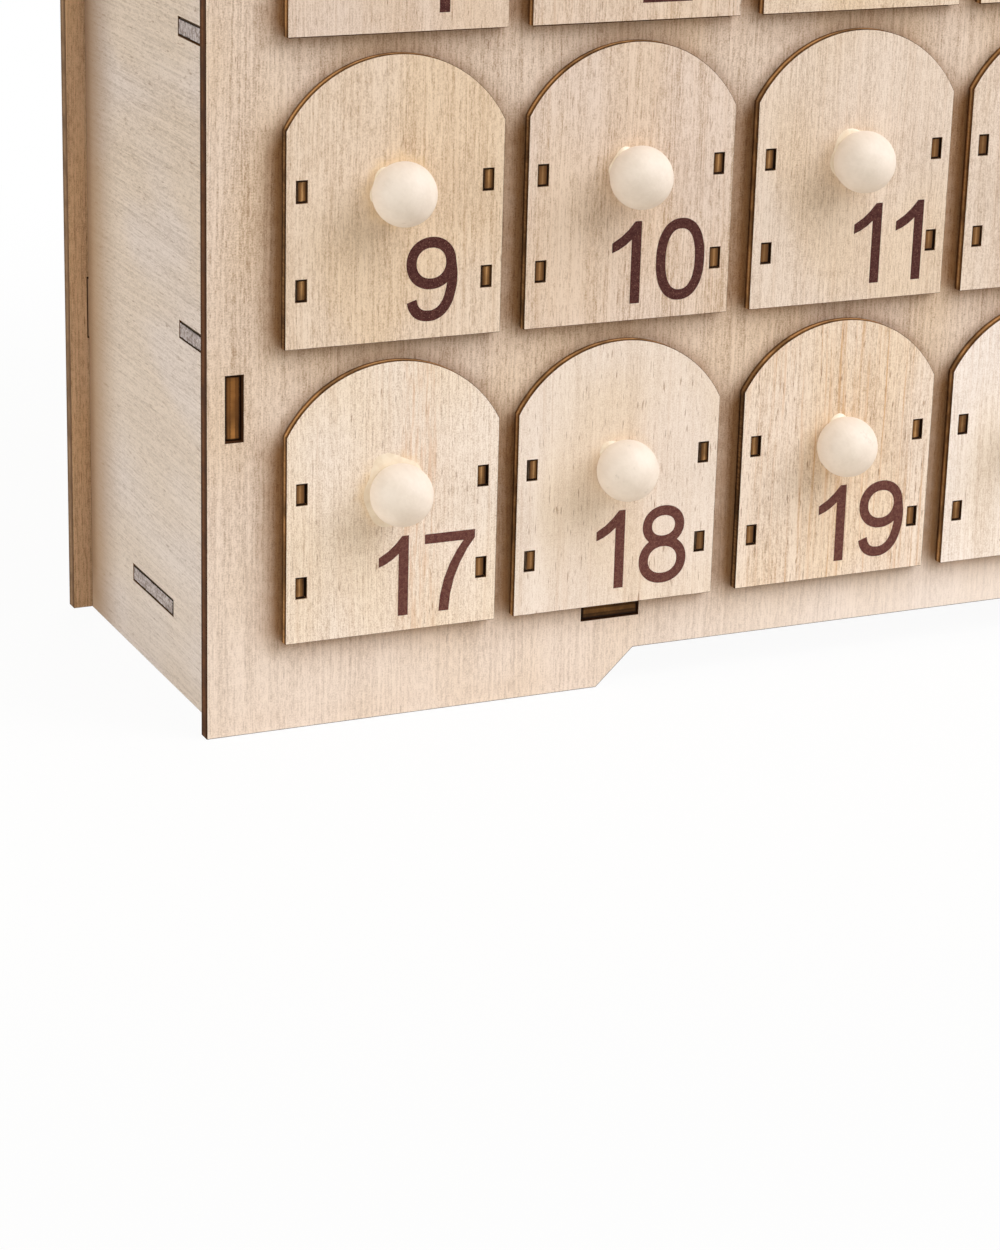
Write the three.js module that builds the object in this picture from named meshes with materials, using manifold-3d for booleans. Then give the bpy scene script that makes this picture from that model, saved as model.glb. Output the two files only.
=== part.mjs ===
// Light-up advent calendar: a laser-cut plywood cabinet with 24 drawers, a village scene on its roof
// and a string of LEDs behind it. Millimetres, +Z up, the front faces -Y.
// The origin is on the table, in the middle of the footprint.

import * as THREE from "three";
import { mergeVertices } from "three/addons/utils/BufferGeometryUtils.js";
import Module from "manifold-3d";

// Sheet stock and clearances
const sheet = 3; // plywood of the cabinet and of the scene
const thinSheet = 2; // plywood of the drawers
const fit = 0.2; // clearance between boards that meet, and round each tab
const overrun = 1; // how far a cutting shape runs past the face that it cuts

// Drawers
const columns = 8;
const rows = 3;
const shoulderHeight = 40.5; // straight side of a drawer front
const archRise = 12.9; // height of the arch above the shoulders
const drawerFrontWidth = 43.2;
const columnGap = 4.8; // between two neighbouring drawer fronts
const rowGap = 3.8;
const edgeMargin = 14.7; // from the cabinet's edge to the first drawer front
const drawerLift = 0.3; // a drawer's underside above the board that it slides on
const drawerStandOff = 0.2; // from the cabinet's front to the back of a drawer front
const trayInset = 2.1; // from the side of the drawer front to the side of the tray
const trayHeight = 36;
const trayRearRoom = 4.5; // from a shut tray to the rear board
const openingSide = 0.8; // room beside the tray in its opening
const openingTop = 1.2;
const slotHeight = 4.1; // the side tabs' slots in a drawer front
const slotRecess = 0.4; // how deep the tab ends lie in their slots
const slotHeightShares = [0.305, 0.814]; // the slots' middles, in shares of the tray's height

// Knobs
const knobRadius = 6;
const knobReach = 4; // from the drawer front to the middle of the ball
const knobHeight = 28.5; // above the drawer's lower edge
const knobSink = 0.6; // how far the knob's foot is let into the front

// Cabinet
const innerDepth = 78; // between the front board and the rear board
const wallInset = 4; // side wall's outer face, in from the edge of the front board
const bottomBoardHeight = 14.6; // its underside above the table
const sideWallRise = 11; // side walls above the stage
const wallTabLength = 12.2; // the side walls' tabs in the front and rear boards
const wallTabHeights = [58.2, 152]; // lower ends of those tabs
const wallTabRecess = 0.8; // how far those tab ends lie below the face
const boardTabLength = 23.5; // bottom board and stage in the side walls
const shelfTabLength = 12;
const shelfTabSetback = 10.4; // from the front board to a shelf's side tab
const plateTabLength = 12; // bottom board and stage in the front and rear boards
const footWidth = 81.8;
const footChamfer = 7.9;
const footHeight = 7.5; // how high the cut-out between the feet is
const dividerSheet = 3;

// Front board's upper edge
const parapetRise = 14; // lowest part of the snow line above the stage
const snowWave = 4; // half height of the snow line's wave
const snowWaves = 5;
const snowSteps = 36;
const hedgeTreeWidth = 17;
const hedgeTreeHeight = 30;
const hedgeTreeShares = [-0.45, -0.395, 0.345, 0.4, 0.452]; // middles, in shares of the board's width
const hedgeTreeHeightShares = [1, 0.72, 0.66, 1, 0.8];

// Scene on the stage
const sceneHeight = 196; // from the stage to the rear board's highest point
const skyShoulder = 82; // where the rear board's arch starts, above the stage
const sceneMargin = 5; // from the side walls to the houses
const housesSetback = 42; // from the front board to the houses
const churchSetback = 24;
const treeSetback = 19;
const sceneTabLength = 12;
const sceneTabShares = [-0.38, 0.38]; // tabs' middles, in shares of a scene board's width
const roofOverhang = 2.4;
const roofEdge = 3.2; // thickness of a roof's edge at the eaves

// From left to right: width in shares of the row, then eaves and ridge in shares of the scene's height
const houseShares = [
  [0.03, 0.1, 0.1],
  [0.16, 0.29, 0.45],
  [0.025, 0.13, 0.13],
  [0.125, 0.37, 0.52],
  [0.03, 0.15, 0.15],
  [0.115, 0.26, 0.41],
  [0.03, 0.12, 0.12],
  [0.12, 0.29, 0.44],
  [0.025, 0.15, 0.15],
  [0.14, 0.35, 0.5],
  [0.02, 0.12, 0.12],
  [0.15, 0.26, 0.43],
  [0.03, 0.1, 0.1],
];
const doorWidthShare = 0.2; // of a house's width
const doorHeightShare = 0.42; // of its eaves
const doorPlaceShare = 0.5;
const windowWidthShare = 0.17;
const windowHeightShare = 0.24;
const windowPlaceShares = [0.22, 0.78];
const windowSillShares = [0.2, 0.6];
const windowBar = 1.4; // width of the bars between a window's panes
const windowPanes = 2; // across and up
const atticRadiusShare = 0.07;

// Church
const churchWidth = 92;
const naveEaves = 44;
const naveRidge = 66; // where the nave's roof meets the tower
const towerWidth = 33;
const towerHeight = 96;
const spireHeight = 62;
const spireSkirt = 3; // how far the spire's foot stands out from the tower

// Fir trees on the stage
const firWidths = [58, 50];
const firHeights = [112, 92];
const firPlaceShares = [-0.345, 0.335]; // middles, in shares of the cabinet's width
const trunkHeight = 9;
const trunkWidth = 12;
const firTiers = 4;
const firNotchShare = 0.56; // a tier's inner corner, in shares of its outer half width

// LEDs in the rear board
const ledRadius = 2.5;
const ledLength = 8.6; // from the collar to the tip
const ledCollarRadius = 3.1;
const ledCollar = 1;
const ledTailRadius = 2;
const ledTail = 3;
const wireRadius = 0.8;
const wireGap = 0.5; // between the wire and what it passes
const wireSteps = 160;
const wireSides = 5;
// In the order of the wire: shares of the cabinet's width and of the scene's height, then the sides
// on which the wire passes, in degrees anticlockwise from +X as seen from the front.
const ledPlaceShares = [
  [-0.17, 0.29, [270]],
  [-0.35, 0.22, [275, 215, 156]],
  [-0.27, 0.6, [140]],
  [-0.1, 0.82, [102]],
  [0.1, 0.76, [72]],
  [0.28, 0.57, [42]],
  [0.35, 0.2, [21, 320, 259]],
  [0.18, 0.27, [262, 225]],
];

// Star-shaped holes in the sky: middle in the same shares, then radius
const starPlaceShares = [
  [-0.385, 0.4],
  [-0.21, 0.8],
  [0.005, 0.91],
  [0.205, 0.8],
  [0.38, 0.42],
];
const starRadius = 6.5;
const starWaistShare = 0.4;
const starPoints = 5;

// Battery case
const caseWall = 1.6;
const caseLift = 40; // its middle above the stage
const cellRadius = 7.1;
const cellBody = 49.3;
const cellNub = 1.2;
const cellNubRadius = 2.7;
const cellGap = 0.5;
const contactRoom = 3; // between a cell's end and the case
const contactSheet = 0.4;
const contactMargin = 1.6;
const contactPadRadius = 3;
const lidSheet = 1.6;
const lidPad = 1.2; // raised middle of the lid
const lipGrip = 1; // how far the case's lips reach over the lid
const switchBay = 9;
const switchTravel = 3;
const switchKnob = [3.4, 4.6, 2]; // width, height and how far it stands out
const switchStem = [1.6, 2.6];
const switchFoot = [4.6, 6.4, 1];

// Sizes worked out from those above
const drawerFrontHeight = shoulderHeight + archRise;
const columnPitch = drawerFrontWidth + columnGap;
const rowPitch = drawerFrontHeight + rowGap;
const cabinetWidth = 2 * edgeMargin + (columns - 1) * columnPitch + drawerFrontWidth;
const bottomBoardTop = bottomBoardHeight + sheet;
const stageUnderside = bottomBoardHeight + rows * rowPitch;
const stageTop = stageUnderside + sheet;
const rearInner = sheet + innerDepth; // inner face of the rear board
const rearOuter = rearInner + sheet;
const wallOuter = cabinetWidth / 2 - wallInset;
const wallInner = wallOuter - sheet;
const trayWidth = drawerFrontWidth - 2 * trayInset;
const trayDepth = sheet + innerDepth - trayRearRoom;
const knobFootRadius = Math.sqrt(knobRadius ** 2 - knobReach ** 2);
const bayLength = cellBody + cellNub + 2 * contactRoom;
const bayHeight = 4 * cellRadius + 3 * cellGap;
const bayDepth = 2 * cellRadius + 2 * cellGap;
const caseWidth = bayLength + switchBay + 3 * caseWall;
const caseHeight = bayHeight + 2 * lipGrip + 2 * caseWall;
const caseDepth = caseWall + bayDepth + lidSheet + 2 * fit + lidPad;
const frontReach = drawerStandOff + thinSheet + knobReach + knobRadius;
const rearReach = rearOuter + fit + caseDepth + switchKnob[2];

const wasm = await Module();
wasm.setup();

// Materials
const paint = (color, roughness, metalness = 0) =>
  new THREE.MeshStandardMaterial({ color, roughness, metalness });
const plywood = paint(0xe2c9a8, 0.75);
const drawerPlywood = paint(0xe8d2b2, 0.72);
const blackPlastic = paint(0x1d1d1f, 0.45);
const steel = paint(0xc9c9c6, 0.3, 1);
const cellJacket = paint(0x3c7a55, 0.35);
const ledResin = paint(0xfff0c8, 0.2);
const wireJacket = paint(0x2f5a3a, 0.5);

const calendar = new THREE.Group();
const cabinet = new THREE.Group(); // its own origin is on the front board's face, at table height
cabinet.position.y = (frontReach - rearReach) / 2;
calendar.add(cabinet);

function add(name, geometry, material, parent = cabinet) {
  const mesh = new THREE.Mesh(geometry, material);
  mesh.name = name;
  parent.add(mesh);
  return mesh;
}

// Outlines

// A rectangle with tabs. Each side lists { at, length, reach }, and a negative reach is a notch.
function tabbed(x0, x1, y0, y1, { south = [], east = [], north = [], west = [] }) {
  const points = [];
  const run = (from, to, normal, tabs) => {
    const along = to.clone().sub(from).normalize();
    points.push(from);
    const sorted = tabs
      .map((t) => ({ ...t, middle: Math.abs(t.at - (along.x ? from.x : from.y)) }))
      .sort((a, b) => a.middle - b.middle);
    for (const { middle, length, reach } of sorted) {
      const start = from.clone().addScaledVector(along, middle - length / 2);
      const end = from.clone().addScaledVector(along, middle + length / 2);
      points.push(start, start.clone().addScaledVector(normal, reach));
      points.push(end.clone().addScaledVector(normal, reach), end);
    }
  };
  const v = (x, y) => new THREE.Vector2(x, y);
  run(v(x0, y0), v(x1, y0), v(0, -1), south);
  run(v(x1, y0), v(x1, y1), v(1, 0), east);
  run(v(x1, y1), v(x0, y1), v(0, 1), north);
  run(v(x0, y1), v(x0, y0), v(-1, 0), west);
  return new THREE.Shape(points);
}

// The drawer fronts' outline: straight sides, and one flat arc from shoulder to shoulder.
function arched(shape, width, shoulder, rise, base) {
  const radius = (width ** 2 / 4 + rise ** 2) / (2 * rise);
  const middle = base + shoulder + rise - radius;
  const start = Math.asin((base + shoulder - middle) / radius);
  shape.moveTo(-width / 2, base);
  shape.lineTo(width / 2, base);
  shape.lineTo(width / 2, base + shoulder);
  shape.absarc(0, middle, radius, start, Math.PI - start, false);
  return shape;
}

function rectangleHole(shape, x0, x1, z0, z1) {
  const corners = [
    [x0, z0],
    [x1, z0],
    [x1, z1],
    [x0, z1],
  ];
  shape.holes.push(new THREE.Path(corners.map(([x, z]) => new THREE.Vector2(x, z))));
}

// The hole for a tab of that length and of the sheet's thickness, with the clearance round it.
function mortise(shape, x, z, width, height) {
  rectangleHole(shape, x - width / 2 - fit, x + width / 2 + fit, z - height / 2 - fit, z + height / 2 + fit);
}

function roundHole(shape, x, z, radius) {
  shape.holes.push(new THREE.Path().absarc(x, z, radius, 0, 2 * Math.PI, false));
}

function archedHole(shape, x, z, width, height) {
  const springing = z + height - width / 2;
  const path = new THREE.Path();
  path.moveTo(x - width / 2, z);
  path.lineTo(x + width / 2, z);
  path.absarc(x, springing, width / 2, 0, Math.PI, false);
  shape.holes.push(path);
}

// A window of equal panes with bars between them, over a sill at x and z
function windowHoles(shape, x, z, width, height) {
  const paneWidth = (width - (windowPanes - 1) * windowBar) / windowPanes;
  const paneHeight = (height - (windowPanes - 1) * windowBar) / windowPanes;
  for (let across = 0; across < windowPanes; across++) {
    for (let up = 0; up < windowPanes; up++) {
      const left = x - width / 2 + across * (paneWidth + windowBar);
      const low = z + up * (paneHeight + windowBar);
      rectangleHole(shape, left, left + paneWidth, low, low + paneHeight);
    }
  }
}

function starHole(shape, x, z, radius) {
  const points = [];
  for (let i = 0; i < 2 * starPoints; i++) {
    const angle = Math.PI / 2 + (i * Math.PI) / starPoints;
    const reach = i % 2 ? radius * starWaistShare : radius;
    points.push(new THREE.Vector2(x + reach * Math.cos(angle), z + reach * Math.sin(angle)));
  }
  shape.holes.push(new THREE.Path(points));
}

// Right half of a fir from the foot up, as [across, up]. The tiers narrow evenly to the tip.
function firHalf(width, height, foot) {
  const points = [];
  for (let i = 0; i < firTiers; i++) {
    const tier = (1 - i / firTiers) * (width / 2);
    const low = foot + ((height - foot) * i) / firTiers;
    if (i) points.push([tier * firNotchShare, low]);
    points.push([tier, low]);
  }
  points.push([0, height]);
  return points;
}

// Boards: an outline cut from sheet, standing across, standing along or lying flat

function extrude(shape, depth, curveSegments = 12) {
  return new THREE.ExtrudeGeometry(shape, { depth, bevelEnabled: false, curveSegments });
}

// The outline is extruded whole, then its holes are cut out of it.
function cutBoard(shape, thickness, curveSegments) {
  const whole = (path) => new THREE.Shape(path.getPoints(curveSegments));
  const blank = toSolid(extrude(whole(shape), thickness));
  if (!shape.holes.length) return toGeometry(blank);
  const cutters = shape.holes.map((hole) => {
    const cutter = extrude(whole(hole), thickness + 2 * overrun);
    cutter.translate(0, 0, -overrun);
    return toSolid(cutter);
  });
  return toGeometry(blank.subtract(wasm.Manifold.union(cutters)));
}

// Outline in X and Z, from its front face at y backwards.
function acrossBoard(name, shape, y, thickness, material, curveSegments) {
  const board = add(name, cutBoard(shape, thickness, curveSegments), material);
  board.rotation.x = Math.PI / 2;
  board.position.y = y + thickness;
  return board;
}

// Outline in Y and Z, from x towards +X.
function alongBoard(name, shape, x, thickness, material) {
  const board = add(name, cutBoard(shape, thickness), material);
  const turn = new THREE.Matrix4().makeBasis(
    new THREE.Vector3(0, 1, 0),
    new THREE.Vector3(0, 0, 1),
    new THREE.Vector3(1, 0, 0),
  );
  board.quaternion.setFromRotationMatrix(turn);
  board.position.x = x;
  return board;
}

// Outline in X and Y, from z upwards.
function flatBoard(name, shape, z, thickness, material) {
  const board = add(name, cutBoard(shape, thickness), material);
  board.position.z = z;
  return board;
}

// Booleans

function toSolid(geometry) {
  const bare = (geometry.index ? geometry.toNonIndexed() : geometry.clone()).deleteAttribute("normal");
  bare.deleteAttribute("uv");
  const merged = mergeVertices(bare);
  return new wasm.Manifold(
    new wasm.Mesh({
      numProp: 3,
      vertProperties: merged.attributes.position.array,
      triVerts: new Uint32Array(merged.index.array),
    }),
  );
}

function toGeometry(solid) {
  const mesh = solid.getMesh();
  const geometry = new THREE.BufferGeometry();
  geometry.setAttribute("position", new THREE.BufferAttribute(mesh.vertProperties, mesh.numProp));
  geometry.setIndex(new THREE.BufferAttribute(mesh.triVerts, 1));
  return geometry;
}

// A block from its corners.
function block(x0, x1, y0, y1, z0, z1) {
  const box = new THREE.BoxGeometry(x1 - x0, y1 - y0, z1 - z0);
  box.translate((x0 + x1) / 2, (y0 + y1) / 2, (z0 + z1) / 2);
  return toSolid(box);
}

// Places that several boards share

const columnMiddle = (column) => (column - (columns - 1) / 2) * columnPitch;
const drawerBottom = (row) => bottomBoardTop + drawerLift + (rows - 1 - row) * rowPitch;
const dividerMiddles = Array.from({ length: columns - 1 }, (_, i) => columnMiddle(i) + columnPitch / 2);
const shelfHeights = [bottomBoardHeight + rowPitch, bottomBoardHeight + 2 * rowPitch];
const plateTabMiddles = [columnMiddle(1), columnMiddle(columns - 2)];
const boardTabMiddle = sheet + innerDepth / 2;
const shelfTabMiddle = sheet + shelfTabSetback + shelfTabLength / 2;
const slotMeeting = sheet + innerDepth / 2; // where a shelf's notch ends and a divider's begins
const wallTabs = wallTabHeights.map((z) => z + wallTabLength / 2);
const sceneRow = 2 * (wallInner - sceneMargin);

// Cabinet

// Both tall boards stand on two feet, and take the tabs of the side walls, bottom board and stage.
function feetOutline(shape) {
  const edge = cabinetWidth / 2;
  shape.moveTo(-edge, 0);
  shape.lineTo(-edge + footWidth, 0);
  shape.lineTo(-edge + footWidth + footChamfer, footHeight);
  shape.lineTo(edge - footWidth - footChamfer, footHeight);
  shape.lineTo(edge - footWidth, 0);
  shape.lineTo(edge, 0);
}

function wallMortises(shape) {
  for (const side of [-1, 1]) {
    for (const z of wallTabs) mortise(shape, side * (wallOuter - sheet / 2), z, sheet, wallTabLength);
  }
  for (const x of plateTabMiddles) mortise(shape, x, stageUnderside + sheet / 2, plateTabLength, sheet);
}

function frontBoard() {
  const shape = new THREE.Shape();
  const edge = cabinetWidth / 2;
  const snow = (x) =>
    stageTop + parapetRise + snowWave * Math.sin(((x / edge) * snowWaves + 1 / 2) * Math.PI);
  feetOutline(shape);

  // The snow line runs from right to left, and each small fir replaces the samples that it covers.
  const line = Array.from({ length: snowSteps + 1 }, (_, i) => edge - (2 * edge * i) / snowSteps);
  const trees = hedgeTreeShares.map((share, i) => ({
    x: share * cabinetWidth,
    height: hedgeTreeHeight * hedgeTreeHeightShares[i],
  }));
  const clear = line.filter((x) => trees.every((tree) => Math.abs(tree.x - x) > hedgeTreeWidth / 2));
  for (const item of [...clear.map((x) => ({ x })), ...trees].sort((a, b) => b.x - a.x)) {
    if (!item.height) {
      shape.lineTo(item.x, snow(item.x));
      continue;
    }
    const half = firHalf(hedgeTreeWidth, item.height, 0);
    const foot = snow(item.x);
    for (const [across, up] of half) shape.lineTo(item.x + across, foot + up);
    for (const [across, up] of half.slice(0, -1).reverse()) shape.lineTo(item.x - across, foot + up);
  }
  shape.closePath();

  wallMortises(shape);
  for (let row = 0; row < rows; row++) {
    for (let column = 0; column < columns; column++) {
      const middle = columnMiddle(column);
      const half = trayWidth / 2 + openingSide;
      const low = drawerBottom(row) - drawerLift;
      const high = drawerBottom(row) + trayHeight + openingTop;
      const hole = [
        [middle + half, low],
        [middle + half, high],
        [middle - half, high],
        [middle - half, low],
      ];
      // The bottom board's front tab lies in a notch below the drawer of its column.
      if (row === rows - 1 && plateTabMiddles.includes(middle)) {
        const notch = plateTabLength / 2 + fit;
        hole.push([middle - notch, low], [middle - notch, bottomBoardHeight - fit]);
        hole.push([middle + notch, bottomBoardHeight - fit], [middle + notch, low]);
      }
      shape.holes.push(new THREE.Path(hole.map(([x, z]) => new THREE.Vector2(x, z))));
    }
  }
  acrossBoard("front_board", shape, 0, sheet, plywood);
}

function rearBoard() {
  const shape = new THREE.Shape();
  const edge = cabinetWidth / 2;
  const rise = sceneHeight - skyShoulder;
  const radius = (edge ** 2 + rise ** 2) / (2 * rise);
  const middle = stageTop + sceneHeight - radius;
  const start = Math.asin((stageTop + skyShoulder - middle) / radius);
  feetOutline(shape);
  shape.lineTo(edge, stageTop + skyShoulder);
  // Two halves, because each is drawn with a fixed number of steps.
  shape.absarc(0, middle, radius, start, Math.PI / 2, false);
  shape.absarc(0, middle, radius, Math.PI / 2, Math.PI - start, false);
  shape.closePath();
  wallMortises(shape);
  for (const x of plateTabMiddles) mortise(shape, x, bottomBoardHeight + sheet / 2, plateTabLength, sheet);
  for (const [across, up] of ledPlaceShares) {
    roundHole(shape, across * cabinetWidth, stageTop + up * sceneHeight, ledRadius + fit);
  }
  for (const [across, up] of starPlaceShares) {
    starHole(shape, across * cabinetWidth, stageTop + up * sceneHeight, starRadius);
  }
  acrossBoard("rear_board", shape, rearInner, sheet, plywood, 10);
}

function sideWall(name, x) {
  const tabs = wallTabs.map((at) => ({ at, length: wallTabLength, reach: sheet + fit - wallTabRecess }));
  const shape = tabbed(sheet + fit, rearInner - fit, 0, stageTop + sideWallRise, { west: tabs, east: tabs });
  for (const z of [bottomBoardHeight, stageUnderside]) {
    mortise(shape, boardTabMiddle, z + sheet / 2, boardTabLength, sheet);
  }
  for (const z of shelfHeights) mortise(shape, shelfTabMiddle, z + sheet / 2, shelfTabLength, sheet);
  alongBoard(name, shape, x, sheet, plywood);
}

// Bottom board and stage: tabs into all four walls.
function fullBoard(name, z, mortises) {
  const side = [{ at: boardTabMiddle, length: boardTabLength, reach: sheet + fit }];
  const plate = plateTabMiddles.map((at) => ({ at, length: plateTabLength, reach: sheet }));
  const shape = tabbed(-wallInner + fit, wallInner - fit, sheet + fit, rearInner - fit, {
    west: side,
    east: side,
    south: plate,
    north: plate,
  });
  for (const { x, y } of mortises) mortise(shape, x, y + sheet / 2, sceneTabLength, sheet);
  flatBoard(name, shape, z, sheet, plywood);
}

// A shelf is notched from behind, and the dividers are notched from in front, so that they cross.
function shelf(name, z) {
  const side = [{ at: shelfTabMiddle, length: shelfTabLength, reach: sheet + fit }];
  const notches = dividerMiddles.map((at) => ({
    at,
    length: dividerSheet + 2 * fit,
    reach: -(rearInner - fit - slotMeeting),
  }));
  const shape = tabbed(-wallInner + fit, wallInner - fit, sheet + fit, rearInner - fit, {
    west: side,
    east: side,
    north: notches,
  });
  flatBoard(name, shape, z, sheet, plywood);
}

function divider(name, middle) {
  const notches = shelfHeights.map((z) => ({
    at: z + sheet / 2,
    length: sheet + 2 * fit,
    reach: -(slotMeeting - sheet),
  }));
  const shape = tabbed(sheet + fit, rearInner - fit, bottomBoardTop + fit, stageUnderside - fit, {
    west: notches,
  });
  alongBoard(name, shape, middle - dividerSheet / 2, dividerSheet, plywood);
}

// Drawers

// The turned ball: flat foot, then one arc to the nose. Its axis is turned to point at -Y.
function knobSolid() {
  const foot = Math.asin(knobReach / knobRadius);
  const profile = [new THREE.Vector2(0, -knobSink), new THREE.Vector2(knobFootRadius, -knobSink)];
  const steps = 4;
  for (let i = 0; i <= steps; i++) {
    const angle = -foot + ((Math.PI / 2 + foot) * i) / steps;
    const radius = i === steps ? 0 : knobRadius * Math.cos(angle);
    profile.push(new THREE.Vector2(radius, knobReach + knobRadius * Math.sin(angle)));
  }
  const ball = new THREE.LatheGeometry(profile, 10);
  ball.rotateX(Math.PI);
  ball.translate(0, -drawerStandOff - thinSheet, knobHeight);
  return toSolid(ball);
}

// Front, glued tray and knob. The tray is open at the top.
function drawerGeometry() {
  const outline = arched(new THREE.Shape(), drawerFrontWidth, shoulderHeight, archRise, 0);
  const front = extrude(outline, thinSheet, 5);
  front.rotateX(Math.PI / 2);
  front.translate(0, -drawerStandOff, 0);
  const half = trayWidth / 2;
  const face = -drawerStandOff - thinSheet;
  let drawer = toSolid(front)
    .add(block(-half, half, face + thinSheet / 2, trayDepth, 0, trayHeight))
    .subtract(
      block(
        -half + thinSheet,
        half - thinSheet,
        -drawerStandOff,
        trayDepth - thinSheet,
        thinSheet,
        trayHeight + overrun,
      ),
    )
    .add(knobSolid());
  for (const side of [-1, 1]) {
    for (const share of slotHeightShares) {
      const x = side * (half - thinSheet / 2);
      const z = share * trayHeight;
      drawer = drawer.subtract(
        block(
          x - thinSheet / 2,
          x + thinSheet / 2,
          face - overrun,
          face + slotRecess,
          z - slotHeight / 2,
          z + slotHeight / 2,
        ),
      );
    }
  }
  return toGeometry(drawer);
}

function drawers() {
  const geometry = drawerGeometry();
  for (let row = 0; row < rows; row++) {
    for (let column = 0; column < columns; column++) {
      const number = String(row * columns + column + 1).padStart(2, "0");
      const drawer = add(`drawer_${number}`, geometry, drawerPlywood);
      drawer.position.set(columnMiddle(column), 0, drawerBottom(row));
    }
  }
}

// Scene

const sceneTabs = (middle, width) =>
  sceneTabShares.map((share) => ({ at: middle + share * width, length: sceneTabLength, reach: sheet }));

// Starts an outline with its lower edge, from left to right, with the tabs that stand in the stage.
function sceneFoot(middle, width) {
  const base = stageTop + fit;
  const shape = new THREE.Shape();
  shape.moveTo(middle - width / 2, base);
  for (const { at, length, reach } of sceneTabs(middle, width)) {
    shape.lineTo(at - length / 2, base);
    shape.lineTo(at - length / 2, base - reach);
    shape.lineTo(at + length / 2, base - reach);
    shape.lineTo(at + length / 2, base);
  }
  shape.lineTo(middle + width / 2, base);
  return shape;
}

function houses() {
  const shape = sceneFoot(0, sceneRow);
  const runs = [];
  let x = -sceneRow / 2;
  for (const [width, eaves, ridge] of houseShares) {
    const low = stageTop + eaves * sceneHeight;
    const high = stageTop + ridge * sceneHeight;
    runs.push({ x0: x, x1: x + width * sceneRow, low, high });
    x += width * sceneRow;
  }
  for (const { x0, x1, low, high } of runs.toReversed()) {
    if (high === low) {
      shape.lineTo(x1, low);
      shape.lineTo(x0, low);
      continue;
    }
    shape.lineTo(x1, low);
    shape.lineTo(x1 + roofOverhang, low);
    shape.lineTo(x1 + roofOverhang, low + roofEdge);
    shape.lineTo((x0 + x1) / 2, high);
    shape.lineTo(x0 - roofOverhang, low + roofEdge);
    shape.lineTo(x0 - roofOverhang, low);
    shape.lineTo(x0, low);
    const width = x1 - x0;
    const eaves = low - stageTop;
    const door = x0 + doorPlaceShare * width;
    archedHole(shape, door, stageTop + fit + sheet, doorWidthShare * width, doorHeightShare * eaves);
    for (const place of windowPlaceShares) {
      for (const sill of windowSillShares) {
        windowHoles(
          shape,
          x0 + place * width,
          stageTop + sill * eaves,
          windowWidthShare * width,
          windowHeightShare * eaves,
        );
      }
    }
    roundHole(shape, (x0 + x1) / 2, (2 * low + high) / 3, atticRadiusShare * width);
  }
  shape.closePath();
  acrossBoard("houses_board", shape, sheet + housesSetback, sheet, plywood, 5);
}

function church() {
  const tower = towerWidth / 2;
  const base = stageTop + fit;
  const shape = sceneFoot(0, churchWidth);
  const right = [
    [churchWidth / 2, naveEaves],
    [churchWidth / 2 + roofOverhang, naveEaves],
    [churchWidth / 2 + roofOverhang, naveEaves + roofEdge],
    [tower, naveRidge],
    [tower, towerHeight],
    [tower + spireSkirt, towerHeight],
    [tower + spireSkirt, towerHeight + roofEdge],
  ];
  for (const [across, up] of right) shape.lineTo(across, base + up);
  shape.lineTo(0, base + towerHeight + spireHeight);
  for (const [across, up] of right.toReversed()) shape.lineTo(-across, base + up);
  shape.closePath();
  const aisle = (churchWidth / 2 + tower) / 2;
  const window = (churchWidth / 2 - tower) / 3;
  for (const side of [-1, 1]) {
    archedHole(shape, side * aisle, base + naveEaves / 4, window, naveEaves / 2);
  }
  archedHole(shape, 0, base + sheet, towerWidth / 3, naveEaves / 2);
  roundHole(shape, 0, base + naveRidge, towerWidth / 5);
  for (const side of [-1, 1]) {
    archedHole(shape, (side * towerWidth) / 5, base + naveRidge + towerWidth / 3, towerWidth / 5, towerWidth / 2);
  }
  acrossBoard("church_board", shape, sheet + churchSetback, sheet, plywood, 6);
}

function fir(name, middle, width, height) {
  const base = stageTop + fit;
  const shape = new THREE.Shape();
  const foot = trunkWidth / 2;
  shape.moveTo(middle - foot, base - sheet);
  shape.lineTo(middle + foot, base - sheet);
  shape.lineTo(middle + foot, base + trunkHeight);
  const half = firHalf(width, height, trunkHeight);
  for (const [across, up] of half) shape.lineTo(middle + across, base + up);
  for (const [across, up] of half.slice(0, -1).reverse()) shape.lineTo(middle - across, base + up);
  shape.lineTo(middle - foot, base + trunkHeight);
  shape.closePath();
  acrossBoard(name, shape, sheet + treeSetback, sheet, plywood);
}

function stage() {
  const mortises = [];
  for (const { at } of sceneTabs(0, sceneRow)) mortises.push({ x: at, y: sheet + housesSetback });
  for (const { at } of sceneTabs(0, churchWidth)) mortises.push({ x: at, y: sheet + churchSetback });
  for (const share of firPlaceShares) mortises.push({ x: share * cabinetWidth, y: sheet + treeSetback });
  fullBoard("stage_board", stageUnderside, mortises);
}

// LEDs and their wire, on the rear board's outer face

function ledGeometry() {
  const profile = [
    [0, ledCollar + ledTail],
    [ledTailRadius, ledCollar + ledTail],
    [ledTailRadius, ledCollar],
    [ledCollarRadius, ledCollar],
    [ledCollarRadius, 0],
    [ledRadius, 0],
  ].map(([radius, y]) => new THREE.Vector2(radius, y));
  const steps = 4;
  for (let i = 0; i <= steps; i++) {
    const angle = ((Math.PI / 2) * i) / steps;
    const radius = i === steps ? 0 : ledRadius * Math.cos(angle);
    profile.push(new THREE.Vector2(radius, -(ledLength - ledRadius) - ledRadius * Math.sin(angle)));
  }
  return new THREE.LatheGeometry(profile.reverse(), 12);
}

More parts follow.
